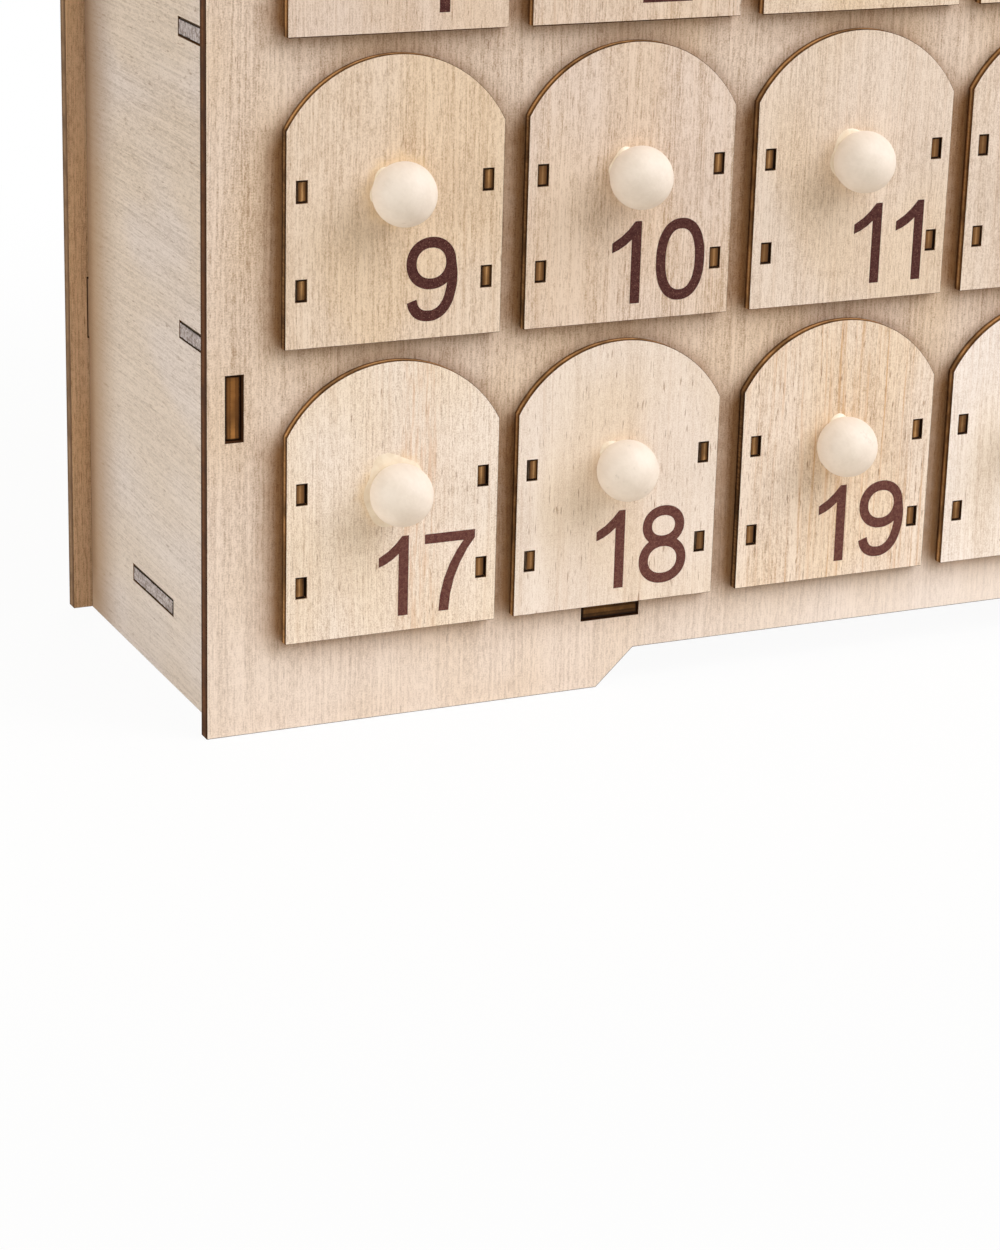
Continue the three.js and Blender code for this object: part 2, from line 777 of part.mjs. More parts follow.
function leds() {
  const geometry = ledGeometry();
  const places = ledPlaceShares.map(([across, up]) => [across * cabinetWidth, stageTop + up * sceneHeight]);
  places.forEach(([x, z], i) => {
    add(`led_${i + 1}`, geometry, ledResin).position.set(x, rearOuter + fit, z);
  });

  // The wire leaves the battery case and passes close by each LED.
  const reach = ledCollarRadius + 2 * wireGap + wireRadius;
  const y = rearOuter + wireGap + wireRadius;
  const route = [new THREE.Vector3(-caseWidth / 2 - wireGap, y, stageTop + caseLift)];
  ledPlaceShares.forEach(([, , sides], i) => {
    const [x, z] = places[i];
    for (const side of sides) {
      const angle = THREE.MathUtils.degToRad(side);
      route.push(new THREE.Vector3(x + reach * Math.cos(angle), y, z + reach * Math.sin(angle)));
    }
  });
  const section = new THREE.Shape();
  for (let i = 0; i < wireSides; i++) {
    const angle = (2 * Math.PI * i) / wireSides;
    const point = [wireRadius * Math.cos(angle), wireRadius * Math.sin(angle)];
    if (i) section.lineTo(...point);
    else section.moveTo(...point);
  }
  const extrudePath = new THREE.CatmullRomCurve3(route, false, "centripetal");
  const wire = new THREE.ExtrudeGeometry(section, { steps: wireSteps, extrudePath });
  add("led_wire", wire, wireJacket);
}

// Battery case, screwed flat to the rear board: bay for two cells at the right, switch at the left

function battery() {
  const box = new THREE.Group();
  box.position.set(0, rearOuter + fit, stageTop + caseLift);
  cabinet.add(box);
  const left = -caseWidth / 2;
  const right = caseWidth / 2;
  const bayLeft = left + caseWall + switchBay + caseWall;
  const bayRight = bayLeft + bayLength;
  const bayMiddle = (bayLeft + bayRight) / 2;
  const lidUnder = caseWall + bayDepth;
  const lidOver = lidUnder + lidSheet + 2 * fit;
  const channel = bayHeight / 2 + lipGrip;
  const switchX = left + caseWall + switchBay / 2;
  const slotHalf = (switchStem[1] + switchTravel) / 2 + fit;

  const shell = block(left, right, 0, caseDepth, -caseHeight / 2, caseHeight / 2)
    .subtract(block(bayLeft, bayRight, caseWall, caseDepth + overrun, -bayHeight / 2, bayHeight / 2))
    .subtract(block(bayLeft, right + overrun, lidUnder, lidOver, -channel, channel))
    .subtract(
      block(bayRight - overrun, right + overrun, lidUnder, caseDepth + overrun, -bayHeight / 2, bayHeight / 2),
    )
    .subtract(
      block(
        left + caseWall,
        bayLeft - caseWall,
        -overrun,
        caseDepth - caseWall,
        -bayHeight / 2,
        bayHeight / 2,
      ),
    )
    .subtract(
      block(
        switchX - switchStem[0] / 2 - fit,
        switchX + switchStem[0] / 2 + fit,
        0,
        caseDepth + overrun,
        -slotHalf,
        slotHalf,
      ),
    );
  add("battery_case", toGeometry(shell), blackPlastic, box);

  const lid = block(
    bayLeft + fit,
    right,
    lidUnder + fit,
    lidUnder + fit + lidSheet,
    -channel + fit,
    channel - fit,
  ).add(block(bayLeft + fit, right, lidUnder + fit, caseDepth, -bayHeight / 2 + fit, bayHeight / 2 - fit));
  add("battery_lid", toGeometry(lid), blackPlastic, box);

  // The switch stands at its lower, off end. Its foot keeps it in the slot.
  const low = -slotHalf + fit;
  const middle = low + switchStem[1] / 2;
  const part = ([width, height], y0, y1) =>
    block(switchX - width / 2, switchX + width / 2, y0, y1, middle - height / 2, middle + height / 2);
  const under = caseDepth - caseWall - fit;
  const slider = part(switchStem, under - switchFoot[2] / 2, caseDepth + fit + switchKnob[2] / 2)
    .add(part(switchFoot, under - switchFoot[2], under))
    .add(part(switchKnob, caseDepth + fit, caseDepth + switchKnob[2]));
  add("switch_slider", toGeometry(slider), paint(0xdddddd, 0.4), box);

  // Cells side by side, the upper one with its nub to the right and the lower one turned round.
  const cell = new THREE.LatheGeometry(
    [
      [0, -(cellBody + cellNub) / 2],
      [cellRadius, -(cellBody + cellNub) / 2],
      [cellRadius, (cellBody - cellNub) / 2],
      [cellNubRadius, (cellBody - cellNub) / 2],
      [cellNubRadius, (cellBody + cellNub) / 2],
      [0, (cellBody + cellNub) / 2],
    ].map(([radius, y]) => new THREE.Vector2(radius, y)),
    16,
  );
  const cellHeight = cellRadius + cellGap / 2;
  for (const [name, side] of [
    ["battery_cell_upper", 1],
    ["battery_cell_lower", -1],
  ]) {
    const mesh = add(name, cell, cellJacket, box);
    mesh.rotation.z = (-side * Math.PI) / 2;
    mesh.position.set(bayMiddle, caseWall + cellGap + cellRadius, side * cellHeight);
  }

  // Contacts: a plate at the wall, and a pad that reaches to each cell.
  const padEnd = contactRoom - cellGap;
  const contact = (name, side, z0, z1, pads) => {
    const wall = side > 0 ? bayRight : bayLeft;
    const x = [wall - side * fit, wall - side * (fit + contactSheet), wall - side * padEnd];
    const span = (a, b) => [Math.min(a, b), Math.max(a, b)];
    let solid = block(...span(x[0], x[1]), caseWall + contactMargin, lidUnder - contactMargin, z0, z1);
    for (const z of pads) {
      const pad = new THREE.CylinderGeometry(contactPadRadius, contactPadRadius, Math.abs(x[2] - x[0]), 12);
      pad.rotateZ(Math.PI / 2);
      pad.translate((x[0] + x[2]) / 2, caseWall + cellGap + cellRadius, z);
      solid = solid.add(toSolid(pad));
    }
    add(name, toGeometry(solid), steel, box);
  };
  const reach = bayHeight / 2 - contactMargin;
  contact("contact_bridge", 1, -reach, reach, [-cellHeight, cellHeight]);
  contact("contact_upper", -1, contactMargin / 2, reach, [cellHeight]);
  contact("contact_lower", -1, -reach, -contactMargin / 2, [-cellHeight]);
}

frontBoard();
rearBoard();
sideWall("side_wall_left", -wallOuter);
sideWall("side_wall_right", wallInner);
fullBoard("bottom_board", bottomBoardHeight, []);
shelfHeights.forEach((z, i) => shelf(i ? "shelf_upper" : "shelf_lower", z));
dividerMiddles.forEach((x, i) => divider(`divider_${i + 1}`, x));
drawers();
stage();
houses();
church();
["fir_left", "fir_right"].forEach((name, i) =>
  fir(name, firPlaceShares[i] * cabinetWidth, firWidths[i], firHeights[i]),
);
leds();
battery();

export default calendar;
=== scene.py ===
# %% [markdown]
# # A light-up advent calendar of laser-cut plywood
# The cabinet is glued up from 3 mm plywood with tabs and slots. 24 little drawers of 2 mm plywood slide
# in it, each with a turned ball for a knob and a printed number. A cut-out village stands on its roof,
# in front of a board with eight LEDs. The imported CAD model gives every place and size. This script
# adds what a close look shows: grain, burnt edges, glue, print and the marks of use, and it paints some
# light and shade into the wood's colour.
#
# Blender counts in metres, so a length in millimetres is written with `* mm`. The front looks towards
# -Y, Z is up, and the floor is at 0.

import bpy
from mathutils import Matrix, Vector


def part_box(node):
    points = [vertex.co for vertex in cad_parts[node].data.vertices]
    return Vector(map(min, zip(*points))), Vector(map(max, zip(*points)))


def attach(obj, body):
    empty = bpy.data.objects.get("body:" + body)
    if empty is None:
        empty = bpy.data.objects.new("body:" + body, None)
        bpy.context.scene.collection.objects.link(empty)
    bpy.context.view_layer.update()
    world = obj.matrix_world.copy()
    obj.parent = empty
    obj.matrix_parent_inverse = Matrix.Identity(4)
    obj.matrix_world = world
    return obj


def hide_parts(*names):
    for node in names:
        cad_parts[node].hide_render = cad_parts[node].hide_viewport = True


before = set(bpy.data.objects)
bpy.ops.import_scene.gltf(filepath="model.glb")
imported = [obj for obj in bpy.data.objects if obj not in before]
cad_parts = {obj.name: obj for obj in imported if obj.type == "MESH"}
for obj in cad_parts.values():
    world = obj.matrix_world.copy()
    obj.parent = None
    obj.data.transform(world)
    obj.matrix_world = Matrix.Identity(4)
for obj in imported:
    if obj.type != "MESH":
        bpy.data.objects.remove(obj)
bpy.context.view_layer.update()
print("nodes in the frame:", len(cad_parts))

# %% [markdown]
# `bmesh` builds the meshes, and `random` is always given a seed, so every run makes the same calendar.

# %% Tools and units
import math
import random

import bmesh
import bpy
from mathutils import Matrix, Vector

mm = 0.001
X, Y, Z = range(3)
scene = bpy.context.scene

# %% [markdown]
# ## Camera
# The camera comes first, because everything later is judged through it. It looks at the lower left
# corner from the left and from above, through a lens of moderate length. It could be placed by eye,
# but its place and turn were solved from corners that the photograph shows, so it needs no shift.

# %% Camera
camera_place = Vector((-411.28, -618.4, 236.79)) * mm
camera_turn = (70.6791, -1.5066, -24.5558)  # degrees about X, Y and Z
camera_lens = 99.0
camera_sensor = 36.0
camera_reach = 10.0  # metres

camera_data = bpy.data.cameras.new("camera")
camera_data.lens = camera_lens
camera_data.sensor_width = camera_sensor
camera_data.clip_end = camera_reach
camera = bpy.data.objects.new("camera", camera_data)
camera.location = camera_place
camera.rotation_euler = [math.radians(turn) for turn in camera_turn]
scene.collection.objects.link(camera)
scene.camera = camera
print("camera at", [round(place, 3) for place in camera_place])

# %% [markdown]
# ## Materials by arithmetic
# A procedural material is a sum of patterns. Wired by hand it is a tangle, and an image would blur close
# up, so a few small classes let the nodes be written as arithmetic. `Value` wraps a socket and turns
# + - * / into Math nodes. `Nodes` is a node tree under way, whose method `node` adds any other node, and
# `Finish` is a material that is made so.


# %% A socket that can be calculated with
class Value:
    def __init__(self, nodes, socket):
        self.nodes = nodes
        self.socket = socket

    def math(self, operation, *inputs):
        return self.nodes.node("Math", {"operation": operation}, dict(enumerate(inputs)))

    def __add__(self, other):
        return self.math("ADD", self, other)

    def __sub__(self, other):
        return self.math("SUBTRACT", self, other)

    def __rsub__(self, other):
        return self.math("SUBTRACT", other, self)

    def __mul__(self, other):
        return self.math("MULTIPLY", self, other)

    def __truediv__(self, other):
        return self.math("DIVIDE", self, other)

    def __pow__(self, other):
        return self.math("POWER", self, other)

    def __abs__(self):
        return self.math("ABSOLUTE", self)

    __radd__ = __add__
    __rmul__ = __mul__

    def ramp(self, low, high):
        """0 below low, 1 above high and a smooth rise between them."""
        return self.nodes.node(
            "MapRange",
            {"interpolation_type": "SMOOTHSTEP"},
            {"Value": self, "From Min": low, "From Max": high},
        )


print("a value knows + - * / ** and abs, and ramps")

# %% [markdown]
# Most patterns start from the object's own coordinates in millimetres, so a grain's width can be read
# off a ruler and looks the same on every board. The noise is told how many cycles it has in a
# millimetre, and is stretched by giving it fewer along one axis.


# %% A node tree under way
class Nodes:
    def __init__(self, tree):
        self.tree = tree

    def node(self, kind, settings, sockets, output=0):
        """Adds a node, sets it up, feeds its sockets and gives one of its outputs."""
        node = self.tree.nodes.new("ShaderNode" + kind)
        for setting, value in settings.items():
            setattr(node, setting, value)
        for key, value in sockets.items():
            self.feed(node.inputs[key], value)
        return Value(self, node.outputs[output])

    def feed(self, socket, value):
        if isinstance(value, Value):
            self.tree.links.new(value.socket, socket)
        else:
            socket.default_value = value

    def place(self):
        """The object's own coordinates in millimetres, as three values."""
        here = self.node("TexCoord", {}, {}, "Object")
        return [self.node("SeparateXYZ", {}, {0: here}, axis) / mm for axis in (X, Y, Z)]

    def vector(self, x, y, z):
        return self.node("CombineXYZ", {}, {"X": x, "Y": y, "Z": z})

    def noise(self, vector, detail=2.0, roughness=0.5):
        sockets = {"Vector": vector, "Scale": 1.0, "Detail": detail, "Roughness": roughness}
        return self.node("TexNoise", {}, sockets)

    def noise_at(self, place, cycles, detail=2.0, roughness=0.5):
        """Noise with as many cycles per mm along every axis."""
        return self.noise(self.vector(*[part * cycles for part in place]), detail, roughness)

    def mix(self, factor, low, high, blend="MIX"):
        settings = {"data_type": "RGBA", "blend_type": blend}
        return self.node("Mix", settings, {0: factor, 6: low, 7: high}, 2)

    def attribute(self, name):
        return self.node("Attribute", {"attribute_name": name}, {}, "Fac")

    def bump(self, height, strength, distance):
        return self.node("Bump", {}, {"Height": height, "Strength": strength, "Distance": distance})


print("patterns: noise, vertex attributes, mixes and bumps")

# %% [markdown]
# A material starts with the constants that hold all over it, such as a coat's roughness. Whatever
# varies is fed to the same shader later. Colours are written as a screen shows them, because that is
# how they are read off, and turned into the linear light that the shader mixes.


# %% A material
class Finish(Nodes):
    def __init__(self, name, **constants):
        self.material = bpy.data.materials.new(name)
        self.material.use_nodes = True
        super().__init__(self.material.node_tree)
        self.shader = self.tree.nodes["Principled BSDF"]
        self.surface(**constants)

    def surface(self, **sockets):
        """Feeds the shader's sockets, named with _ for a space."""
        for name, value in sockets.items():
            self.feed(self.shader.inputs[name.replace("_", " ")], value)
        return self


def color(red, green, blue):
    """A colour written as a screen shows it, from 0 to 255."""
    shares = [channel / 255 for channel in (red, green, blue)]
    return (*[((share + 0.055) / 1.055) ** 2.4 for share in shares], 1.0)


print("the screen's middle grey as light:", round(color(128, 128, 128)[0], 3))


# %% [markdown]
# Glue, wire and moulded plastic have no grain. Each is two close tones in soft clouds, and where the
# tone changes the gloss does too, because one even tone looks like paint. They share one function.


# %% Clouded finishes
def cloud_over(finish, cycles, ends, tones, rough, rough_share):
    """Gives a finish two tones that soft clouds mix, and a roughness that follows them."""
    cloud = finish.noise_at(finish.place(), cycles, 3.0)
    finish.surface(
        Base_Color=finish.mix(cloud.ramp(*ends), *tones),
        Roughness=rough + cloud * rough_share,
    )
    return cloud


wood_glue = Finish("wood_glue", Coat_Roughness=0.15)
glue_tones = (color(240, 226, 204), color(230, 212, 186))
glue_cloud = cloud_over(wood_glue, 0.5, (0.35, 0.7), glue_tones, 0.28, 0.2)
wood_glue.surface(Coat_Weight=glue_cloud.ramp(0.3, 0.6) * 0.4)

hot_glue = Finish("hot_glue", Coat_Weight=0.6, Coat_Roughness=0.1)
hot_tones = (color(226, 214, 190), color(200, 180, 146))
hot_cloud = cloud_over(hot_glue, 0.35, (0.3, 0.7), hot_tones, 0.3, 0.15)
hot_glue.surface(Normal=hot_glue.bump(hot_cloud, 0.6, 0.8 * mm))

jacket = Finish("wire_jacket", Coat_Weight=0.2, Coat_Roughness=0.3)
cloud_over(jacket, 0.4, (0.35, 0.7), (color(34, 74, 46), color(48, 92, 58)), 0.42, 0.15)

slider_plastic = Finish("switch_plastic")
slider_tones = (color(222, 222, 218), color(198, 196, 190))
cloud_over(slider_plastic, 0.9, (0.4, 0.75), slider_tones, 0.35, 0.15)
print("clouded finishes: wood glue, hot glue, wire jacket, switch")

# %% [markdown]
# ## Veneer
# Sliced poplar shows fibres a fraction of a millimetre wide and a few long, a finer fleck, soft bands
# and short dark pores, and parts of a sheet are yellower. Each is noise that is stretched along the
# grain. Blender's Wave texture could draw the fibres, but its lines are too even. Two more noises, a
# slow one and a quick one, bend the fibres, so they aren't ruled.

# %% Veneer values
# Cycles per mm across and along the grain, octaves, and weight in the tone
veneer_layers = {
    "fibres": ((2.7, 0.5), 2.0, 1.9),
    "lines": ((2.5, 0.035), 2.0, 1.8),
    "flecks": ((4.2, 3.2), 1.0, 1.8),
    "bands": ((0.2, 0.016), 2.0, 0.9),
}
layer_step = 7.0  # from one layer's noise to the next one's
bend_shift, pore_shift, streak_shift, cast_shift = 3.0, 23.0, 31.0, 41.0
layer_roughness = 0.6
through_share = 0.3  # the pattern changes slowly through a board
slow_bend = (0.04, 0.008, 2.2)  # cycles across and along, then reach in mm
quick_bend = (0.3, 0.07, 0.2)
middle_tone = 0.55
tone_range = (-0.7, 1.15)
cast_cycles, cast_range = (0.045, 0.02), (0.4, 0.65)
cast_tint = color(253, 249, 240)  # the yellower parts of a sheet
streak_cycles, streak_range = (1.5, 0.02), (0.5, 0.75)
pore_cycles, pore_range = (2.6, 0.3), (0.64, 0.76)
pore_tint = color(178, 152, 128)
relief_shares = (0.6, 0.25, 0.5)  # of the fibres, the flecks and the pores
grain_depth, grain_strength = 0.05 * mm, 0.5
wood_rough, wood_rough_share = 0.64, 0.2
wood_shine = 0.2
print("layers of the veneer:", ", ".join(veneer_layers))

# %% [markdown]
# The layers add up to one tone between a dark and a light colour. Through the board the pattern drifts
# slowly, so a cut shows no seam, and the seed picks another part of the sheet for every board. The
# fibres and flecks also lift the surface a little, and the pores sink.


# %% Veneer
def veneer(
    name, across, along, tones, seed, fibre=1.0, fleck=1.0, band=1.0, pore=0.5, streak=0.3, spread=1.0
):
    """A Finish, its wood colour and its coordinates, for a board whose grain runs along one axis."""
    light, dark, streak_tone = tones
    finish = Finish(name, Specular_IOR_Level=wood_shine)
    place = finish.place()
    through = 3 - across - along
    u, v, w = place[across], place[along], place[through] * through_share + seed

    def layer(cycles, detail, shift):
        stretched = finish.vector(u * cycles[0], v * cycles[1], w + shift)
        return finish.noise(stretched, detail, layer_roughness)

    bends = []
    for *cycles, reach in (slow_bend, quick_bend):
        bends.append((layer(cycles, 1.0, bend_shift) - 0.5) * (2 * reach))
    u = u + bends[0] + bends[1]
    amounts = {"fibres": fibre, "lines": fibre, "flecks": fleck, "bands": band}
    layers = {}
    tone = middle_tone
    for index, (layer_name, (cycles, detail, weight)) in enumerate(veneer_layers.items()):
        layers[layer_name] = layer((cycles[0] * spread, cycles[1]), detail, layer_step * index)
        tone = (layers[layer_name] - 0.5) * (weight * amounts[layer_name]) + tone
    pores = layer(pore_cycles, 1.0, pore_shift).ramp(*pore_range) * pore
    streaks = layer(streak_cycles, 3.0, streak_shift).ramp(*streak_range) * streak
    cast = layer(cast_cycles, 1.0, cast_shift).ramp(*cast_range)
    wood = finish.mix(tone.ramp(*tone_range), dark, light)
    wood = finish.mix(cast, wood, cast_tint, "MULTIPLY")
    wood = finish.mix(streaks, wood, streak_tone)
    wood = finish.mix(pores, wood, finish.mix(1.0, wood, pore_tint, "MULTIPLY"))
    raised, flecked, sunk = relief_shares
    height = layers["fibres"] * raised + layers["flecks"] * flecked - pores * sunk
    rough = wood_rough + (layers["fibres"] - 0.5) * wood_rough_share
    finish.surface(Roughness=rough, Normal=finish.bump(height, grain_strength, grain_depth))
    return finish, wood, place


print("grain depth in mm:", round(grain_depth / mm, 2))

# %% [markdown]
# Where one board stands close to another, shade is painted into the wood's colour as brown. The
# Ambient Occlusion node tells how closed in a point is, so it is used as a mask for that painted shade,
# and the floor's nearness is left out of it. Where the laser passed, heat has tanned the veneer
# raggedly. The vertex value `burn` says where: it is high on an outline and 0 a little further in.

# %% Painted shade in corners, and scorch
burn_name = "burn"
scorch_tan = color(168, 124, 78)
scorch_range, scorch_share = (0.35, 1.1), 0.6
scorch_cycles, scorch_swing = 0.5, 0.35
# Painted shade in corners: how far its mask looks, the brown it paints, and where it begins
corner_shade_reach = 7 * mm
corner_shade_tint = color(174, 142, 106)
corner_shade_range = (0.1, 0.32)  # how closed in a place is where the painted shade begins, and where it is full
floor_reach = 12.0  # mm above the floor that is kept clear of the painted shade


def sooted(finish, wood, place, share, more=0.0):
    """The wood's colour with painted brown shade where something stands close by."""
    clear = finish.node("AmbientOcclusion", {"samples": 8}, {"Distance": corner_shade_reach}, "AO")
    above_floor = place[Z].ramp(0.0, floor_reach)
    shaded_tone = finish.mix(1.0, wood, corner_shade_tint, "MULTIPLY")
    return finish.mix(((1 - clear).ramp(*corner_shade_range) * share + more) * above_floor, wood, shaded_tone)


def scorched(finish, wood, place):
    """The wood's colour with the heat's tan beside the cuts."""
    swing = (finish.noise_at(place, scorch_cycles, 3.0) - 0.5) * scorch_swing
    ragged = finish.attribute(burn_name) + swing
    return finish.mix(ragged.ramp(*scorch_range) * scorch_share, wood, scorch_tan)


# A veneer with shade painted into its corners
def plain_board(name, across, along, tones, seed, corner_shade=1.0, **amounts):
    finish, wood, place = veneer(name, across, along, tones, seed, **amounts)
    return finish.surface(Base_Color=sooted(finish, wood, place, corner_shade))


print("soot reaches", round(corner_shade_reach / mm), "mm from a step")

# %% [markdown]
# ## Burnt edges
# The laser leaves the cut itself brown. The glue lines between the three plies are darkest, and the
# middle ply, cut across its grain, is a lighter orange brown. Fine ridges run straight through the
# board. Three thin strips could be modelled, but how far a point lies through the board is all that
# the pattern needs, so one finish does it. The vertex value `margin` darkens the rim of a tab's end,
# where the cuts meet, as burn, and the straight sides of a drawer front, as burn and painted shade.

# %% Burnt edge
margin_name = "margin"
# Black of the char, also painted as shade on the straight sides of drawer fronts
char_and_shade_black = color(34, 21, 12)
char_shine = 0.08
# From the board's middle, in shares of its thickness: where the core ends and the glue line lies
core_range = (0.13, 0.24)
glue_line_ranges = ((0.1, 0.17), (0.18, 0.27))
ply_swing = 0.1  # how far the ridges push the plies' borders
ridge_cycles = (2.6, 0.3)  # per mm along the edge and through the board
line_share, rim_share = 0.65, 0.85
patch_cycles, patch_range, patch_share = 0.2, (0.42, 0.66), 0.6
ridge_range, ridge_share = (0.45, 0.75), 0.45
uneven_cycles, uneven_range, uneven_share = 0.055, (0.4, 0.6), 0.55
margin_range = (0.15, 0.85)
char_rough, char_rough_share = 0.7, 0.3
ridge_depth, ridge_strength = 0.1 * mm, 0.5


def burnt_edge(name, tones, depth_of, ridge_axis=None, uneven=None, rims=(0.28, 0.42)):
    """depth_of gives the way through the board, 0 to 1, and uneven is a tone that some places take."""
    core, outer, glue = tones
    finish = Finish(name, Specular_IOR_Level=char_shine)
    place = finish.place()
    stretched = [part * ridge_cycles[0] for part in place]
    if ridge_axis is not None:
        stretched[ridge_axis] = place[ridge_axis] * ridge_cycles[1]
    ridges = finish.noise(finish.vector(*stretched), 3.0, 0.65)
    from_middle = abs(depth_of(finish, place) - 0.5) + (ridges - 0.5) * ply_swing
    inner, outside = glue_line_ranges
    lines = from_middle.ramp(*inner) * (1 - from_middle.ramp(*outside))
    rim = from_middle.ramp(*rims)
    patches = finish.noise_at(place, patch_cycles).ramp(*patch_range)
    edge = finish.mix(from_middle.ramp(*core_range), core, outer)
    edge = finish.mix((lines * line_share + rim * rim_share) * (0.5 + ridges * 0.8), edge, glue)
    edge = finish.mix(patches * patch_share, edge, glue)
    edge = finish.mix(ridges.ramp(*ridge_range) * ridge_share, edge, outer)
    if uneven:
        unevenly = finish.noise_at(place, uneven_cycles).ramp(*uneven_range)
        edge = finish.mix(unevenly * uneven_share, edge, uneven)
    # The margin darkens tab ends' rims as burn, and a drawer front's straight sides as burn and painted
    # shade
    margin = finish.attribute(margin_name) * (0.6 + ridges * 0.8)
    edge = finish.mix(margin.ramp(*margin_range), edge, char_and_shade_black)
    rough = char_rough + (ridges - 0.5) * char_rough_share
    bumps = finish.bump(ridges, ridge_strength, ridge_depth)
    return finish.surface(Base_Color=edge, Roughness=rough, Normal=bumps)


print("the core ply fades from", round(core_range[0] * 3, 2), "mm off the middle of a 3 mm board")

# %% [markdown]
# ## Boards
# Each board is the CAD node's own outline with the finish of a cut board. It could be drawn again, but
# then every tab would have to be kept in step with its slot by hand. So a copy of the node's mesh is
# welded, and its flat triangles are merged. A small bevel takes the knife edge off and carries the
# burnt finish round to the face, as a fine dark outline. The copy then stands for the node.

# %% Board pieces
weld = 0.001 * mm
merge_angle = math.radians(0.5)
outline_width = 0.16 * mm
end_margin = 0.6 * mm
flat_enough = 0.99
soft_angle = math.radians(40)  # edges that are sharper than this get rounded
face_slot, edge_slot, end_slot = range(3)


def make_piece(name, bm, finishes, body, nodes=()):
    """Turns a bmesh into a named piece that rides on a body and may stand for CAD nodes."""
    mesh = bpy.data.meshes.new(name)
    bm.to_mesh(mesh)
    bm.free()
    for finish in finishes:
        mesh.materials.append(finish.material)
    piece = bpy.data.objects.new(name, mesh)
    scene.collection.objects.link(piece)
    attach(piece, body)
    if nodes:
        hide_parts(*nodes)
    return piece


def soften(piece, width, segments=2, material=-1):
    """Rounds the edges with a live Bevel."""
    bevel = piece.modifiers.new("soft edges", "BEVEL")
    bevel.width = width
    bevel.segments = segments
    bevel.angle_limit = soft_angle
    bevel.material = material
    return piece


def tidied(bm):
    """Welds a mesh and merges its flat triangles."""
    bmesh.ops.remove_doubles(bm, verts=bm.verts, dist=weld)
    bmesh.ops.dissolve_limit(bm, angle_limit=merge_angle, verts=bm.verts, edges=bm.edges)
    return bm


def copy_of(node):
    bm = bmesh.new()
    bm.verts.layers.float.new(margin_name)
    bm.from_mesh(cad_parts[node].data)
    return tidied(bm)


def mark_ends(bm, ends, width):
    """Insets the ends of tabs and marks their rims."""
    margin = bm.verts.layers.float[margin_name]
    for face in ends:
        for vert in face.verts:
            vert[margin] = 1.0
    bmesh.ops.inset_individual(bm, faces=ends, thickness=width, use_even_offset=True)
    for face in ends:
        for vert in face.verts:
            vert[margin] = 0.0


def board(node, axis, face_finish, edge_finish, dark_ends=None, pale_ends=None):
    """A board in place of a CAD node. The ends of its tabs are the faces that lie furthest out."""
    bm = copy_of(node)
    low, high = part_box(node)

    def furthest(face, end_axis):
        if end_axis is None or abs(face.normal[end_axis]) < flat_enough:
            return False
        middle = face.calc_center_median()[end_axis]
        return min(middle - low[end_axis], high[end_axis] - middle) < weld

    for face in bm.faces:
        face.material_index = face_slot if abs(face.normal[axis]) > flat_enough else edge_slot
    for face in bm.faces:
        if furthest(face, pale_ends):
            face.material_index = end_slot
    for ends in (dark_ends, pale_ends):
        mark_ends(bm, [face for face in bm.faces if furthest(face, ends)], end_margin)
    finishes = [face_finish, edge_finish] + ([sanded_end] if pale_ends is not None else [])
    piece = make_piece(node + "_ply", bm, finishes, "cabinet", [node])
    return soften(piece, outline_width, material=edge_slot)


print("the dark outline of a board is", round(outline_width / mm, 2), "mm wide")

# %% [markdown]
# The boards were cut from different sheets. The front board is pale with a pinkish cast. Its foot is
# painted paler, most of all in the middle, as painted light from the floor, and a painted brown shadow
# lies beside the left side of each drawer and a little below it. A painted map could show that, but the
# drawers stand in even rows, so a distance that starts again with every column and row places the
# painted shadow for all of them.

# %% Front board's finish
front_tones = (color(234, 215, 198), color(167, 138, 111), color(170, 142, 115))
# Painted light from the floor: the front board's foot is paler, most of all in the middle
foot_painted_light = color(248, 238, 231)
painted_light_height = 70.0  # mm
painted_light_middle = (20.0, 130.0)  # mm from the middle, where the painted light gets weaker
painted_light_shares = (0.65, 0.35)  # in the middle, and how much less it is at the sides
straight_middle = 20.0  # mm above a drawer's foot
# Painted shade in corners, and a painted shadow beside the left side of each drawer and below it
front_corner_shade, painted_shadow_share = 0.35, 0.75
shadow_left, shadow_right = (-5.2, 2.4), (3.0, 6.0)  # mm across, from a drawer's left side
shadow_above = (16.0, 25.0)  # mm up and down from the middle of the straight side
shadow_below, below_share = (0.0, 9.0), 0.25  # mm under a drawer's foot
shadow_outside = (-4.0, 3.0)  # mm past the outermost drawers
shadow_top = 5.0  # mm below the tops of the highest drawers
shadow_cycles, shadow_swing = 0.35, 3.0  # per mm, and mm


